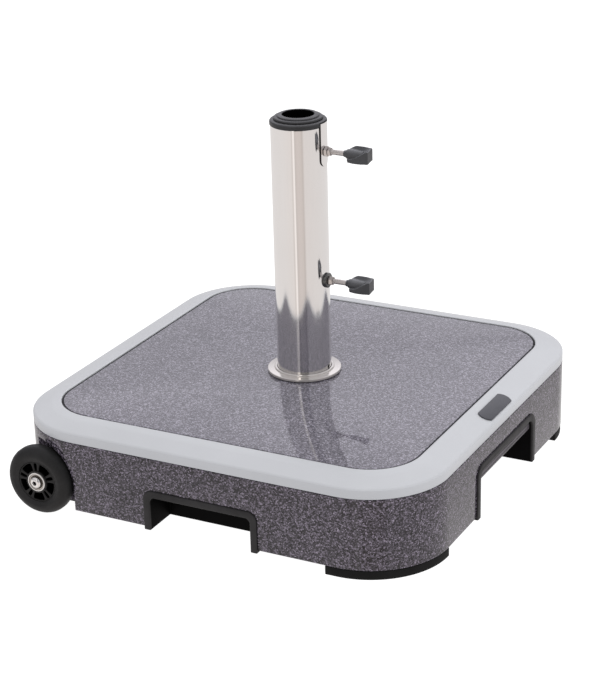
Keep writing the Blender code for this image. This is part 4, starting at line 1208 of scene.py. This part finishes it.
def build_world():
    """White studio: soft fill for shading, a strip light and a dark gap in it."""
    world = bpy.data.worlds.new("studio")
    bpy.context.scene.world = world
    world.use_nodes = True
    w = Tree(world.node_tree)
    w.tree.nodes.clear()

    def background(colour, strength=1.0):
        return w.add("Background", {"Color": colour, "Strength": strength}).outputs[0]

    def choose(fac, first, second):
        return w.add("MixShader", {0: fac, 1: first, 2: second}).outputs[0]

    axes = w.split(w.add("TexCoord").outputs["Generated"])
    compass = w.math("ARCTAN2", axes["X"], w.math("MULTIPLY", axes["Y"], -1.0))
    turn = w.remap(compass, (-math.pi, math.pi))
    low, high = (w.ramp(turn, [((degrees + 180.0) / 360.0, colour) for degrees, colour in room])
                 for room in (ROOM_LOW, ROOM_HIGH))
    rise = w.remap(axes["Z"], (0.27, 0.47), (0.72, 1.32))
    graded = w.add("VectorMath", {0: high, "Scale": rise}, operation="SCALE")
    room = w.mix(low, graded.outputs["Vector"], w.remap(axes["Z"], (-0.10, 0.10)))
    fill = w.remap(axes["Z"], (-1.0, 1.0), (FILL_LOW, FILL_HIGH))

    path = w.add("LightPath").outputs
    seen = choose(path["Is Glossy Ray"], background((1.0, 0.99, 1.0, 1.0), fill), background(room))
    seen = choose(path["Is Camera Ray"], seen, background((*WHITE, 1.0), 1.02))
    w.add("OutputWorld", {"Surface": seen})


def softbox(name, place, target, size, power):
    data = bpy.data.lights.new(name, "AREA")
    data.shape = "RECTANGLE"
    data.size, data.size_y = size
    data.energy = power
    lamp = bpy.data.objects.new(name, data)
    bpy.context.scene.collection.objects.link(lamp)
    lamp.location = place
    lamp.rotation_mode = "QUATERNION"
    lamp.rotation_quaternion = (Vector(target) - Vector(place)).to_track_quat("-Z", "Y")
    lamp.visible_glossy = False


def build_floor():
    """Pale floor that carries only a faint shadow."""
    half = 3.0 / MM
    corners = [(x * half, y * half, 0.0) for x, y in ((-1, -1), (1, -1), (1, 1), (-1, 1))]
    floor = new_object("floor", corners, [(0, 1, 2, 3)])
    mat = bpy.data.materials.new("floor_white")
    mat.use_nodes = True
    tree = Tree(mat.node_tree)
    tree.tree.nodes.clear()
    glow = tree.add("Emission", {"Color": (*WHITE, 1.0)})
    matt = tree.add("BsdfDiffuse", {"Color": (0.22, 0.22, 0.22, 1.0)})
    both = tree.add("AddShader", {0: glow.outputs[0], 1: matt.outputs[0]})
    tree.add("OutputMaterial", {"Surface": both.outputs[0]})
    floor.data.materials.append(mat)
    floor.visible_glossy = False
    floor.visible_diffuse = False


def build_studio():
    bpy.context.scene.view_settings.view_transform = "Standard"
    build_camera()
    build_world()
    softbox("overhead", (0.1, 0.1, 2.2), (0.0, 0.0, 0.0), (1.8, 1.8), 8.0)
    softbox("right", (2.2, 0.5, 0.9), (0.0, 0.0, 0.1), (1.4, 1.4), 10.0)
    build_floor()


# ---- main ----
build_materials()
build_studio()
build_block()
build_rim()
build_top()
build_badge()
build_liners()
build_grip()
build_feet()
for wheel in ("front", "rear"):
    build_wheel(wheel)
    build_bearings(wheel)
    build_axle_bolt(wheel)
build_tube()
build_rosette()
build_sleeves()
build_strap()
build_nuts()
build_saddle()
for clamp in ("upper", "lower"):
    build_knob(clamp)
    build_screw(clamp)
build_pads()
dress_cad_nodes()
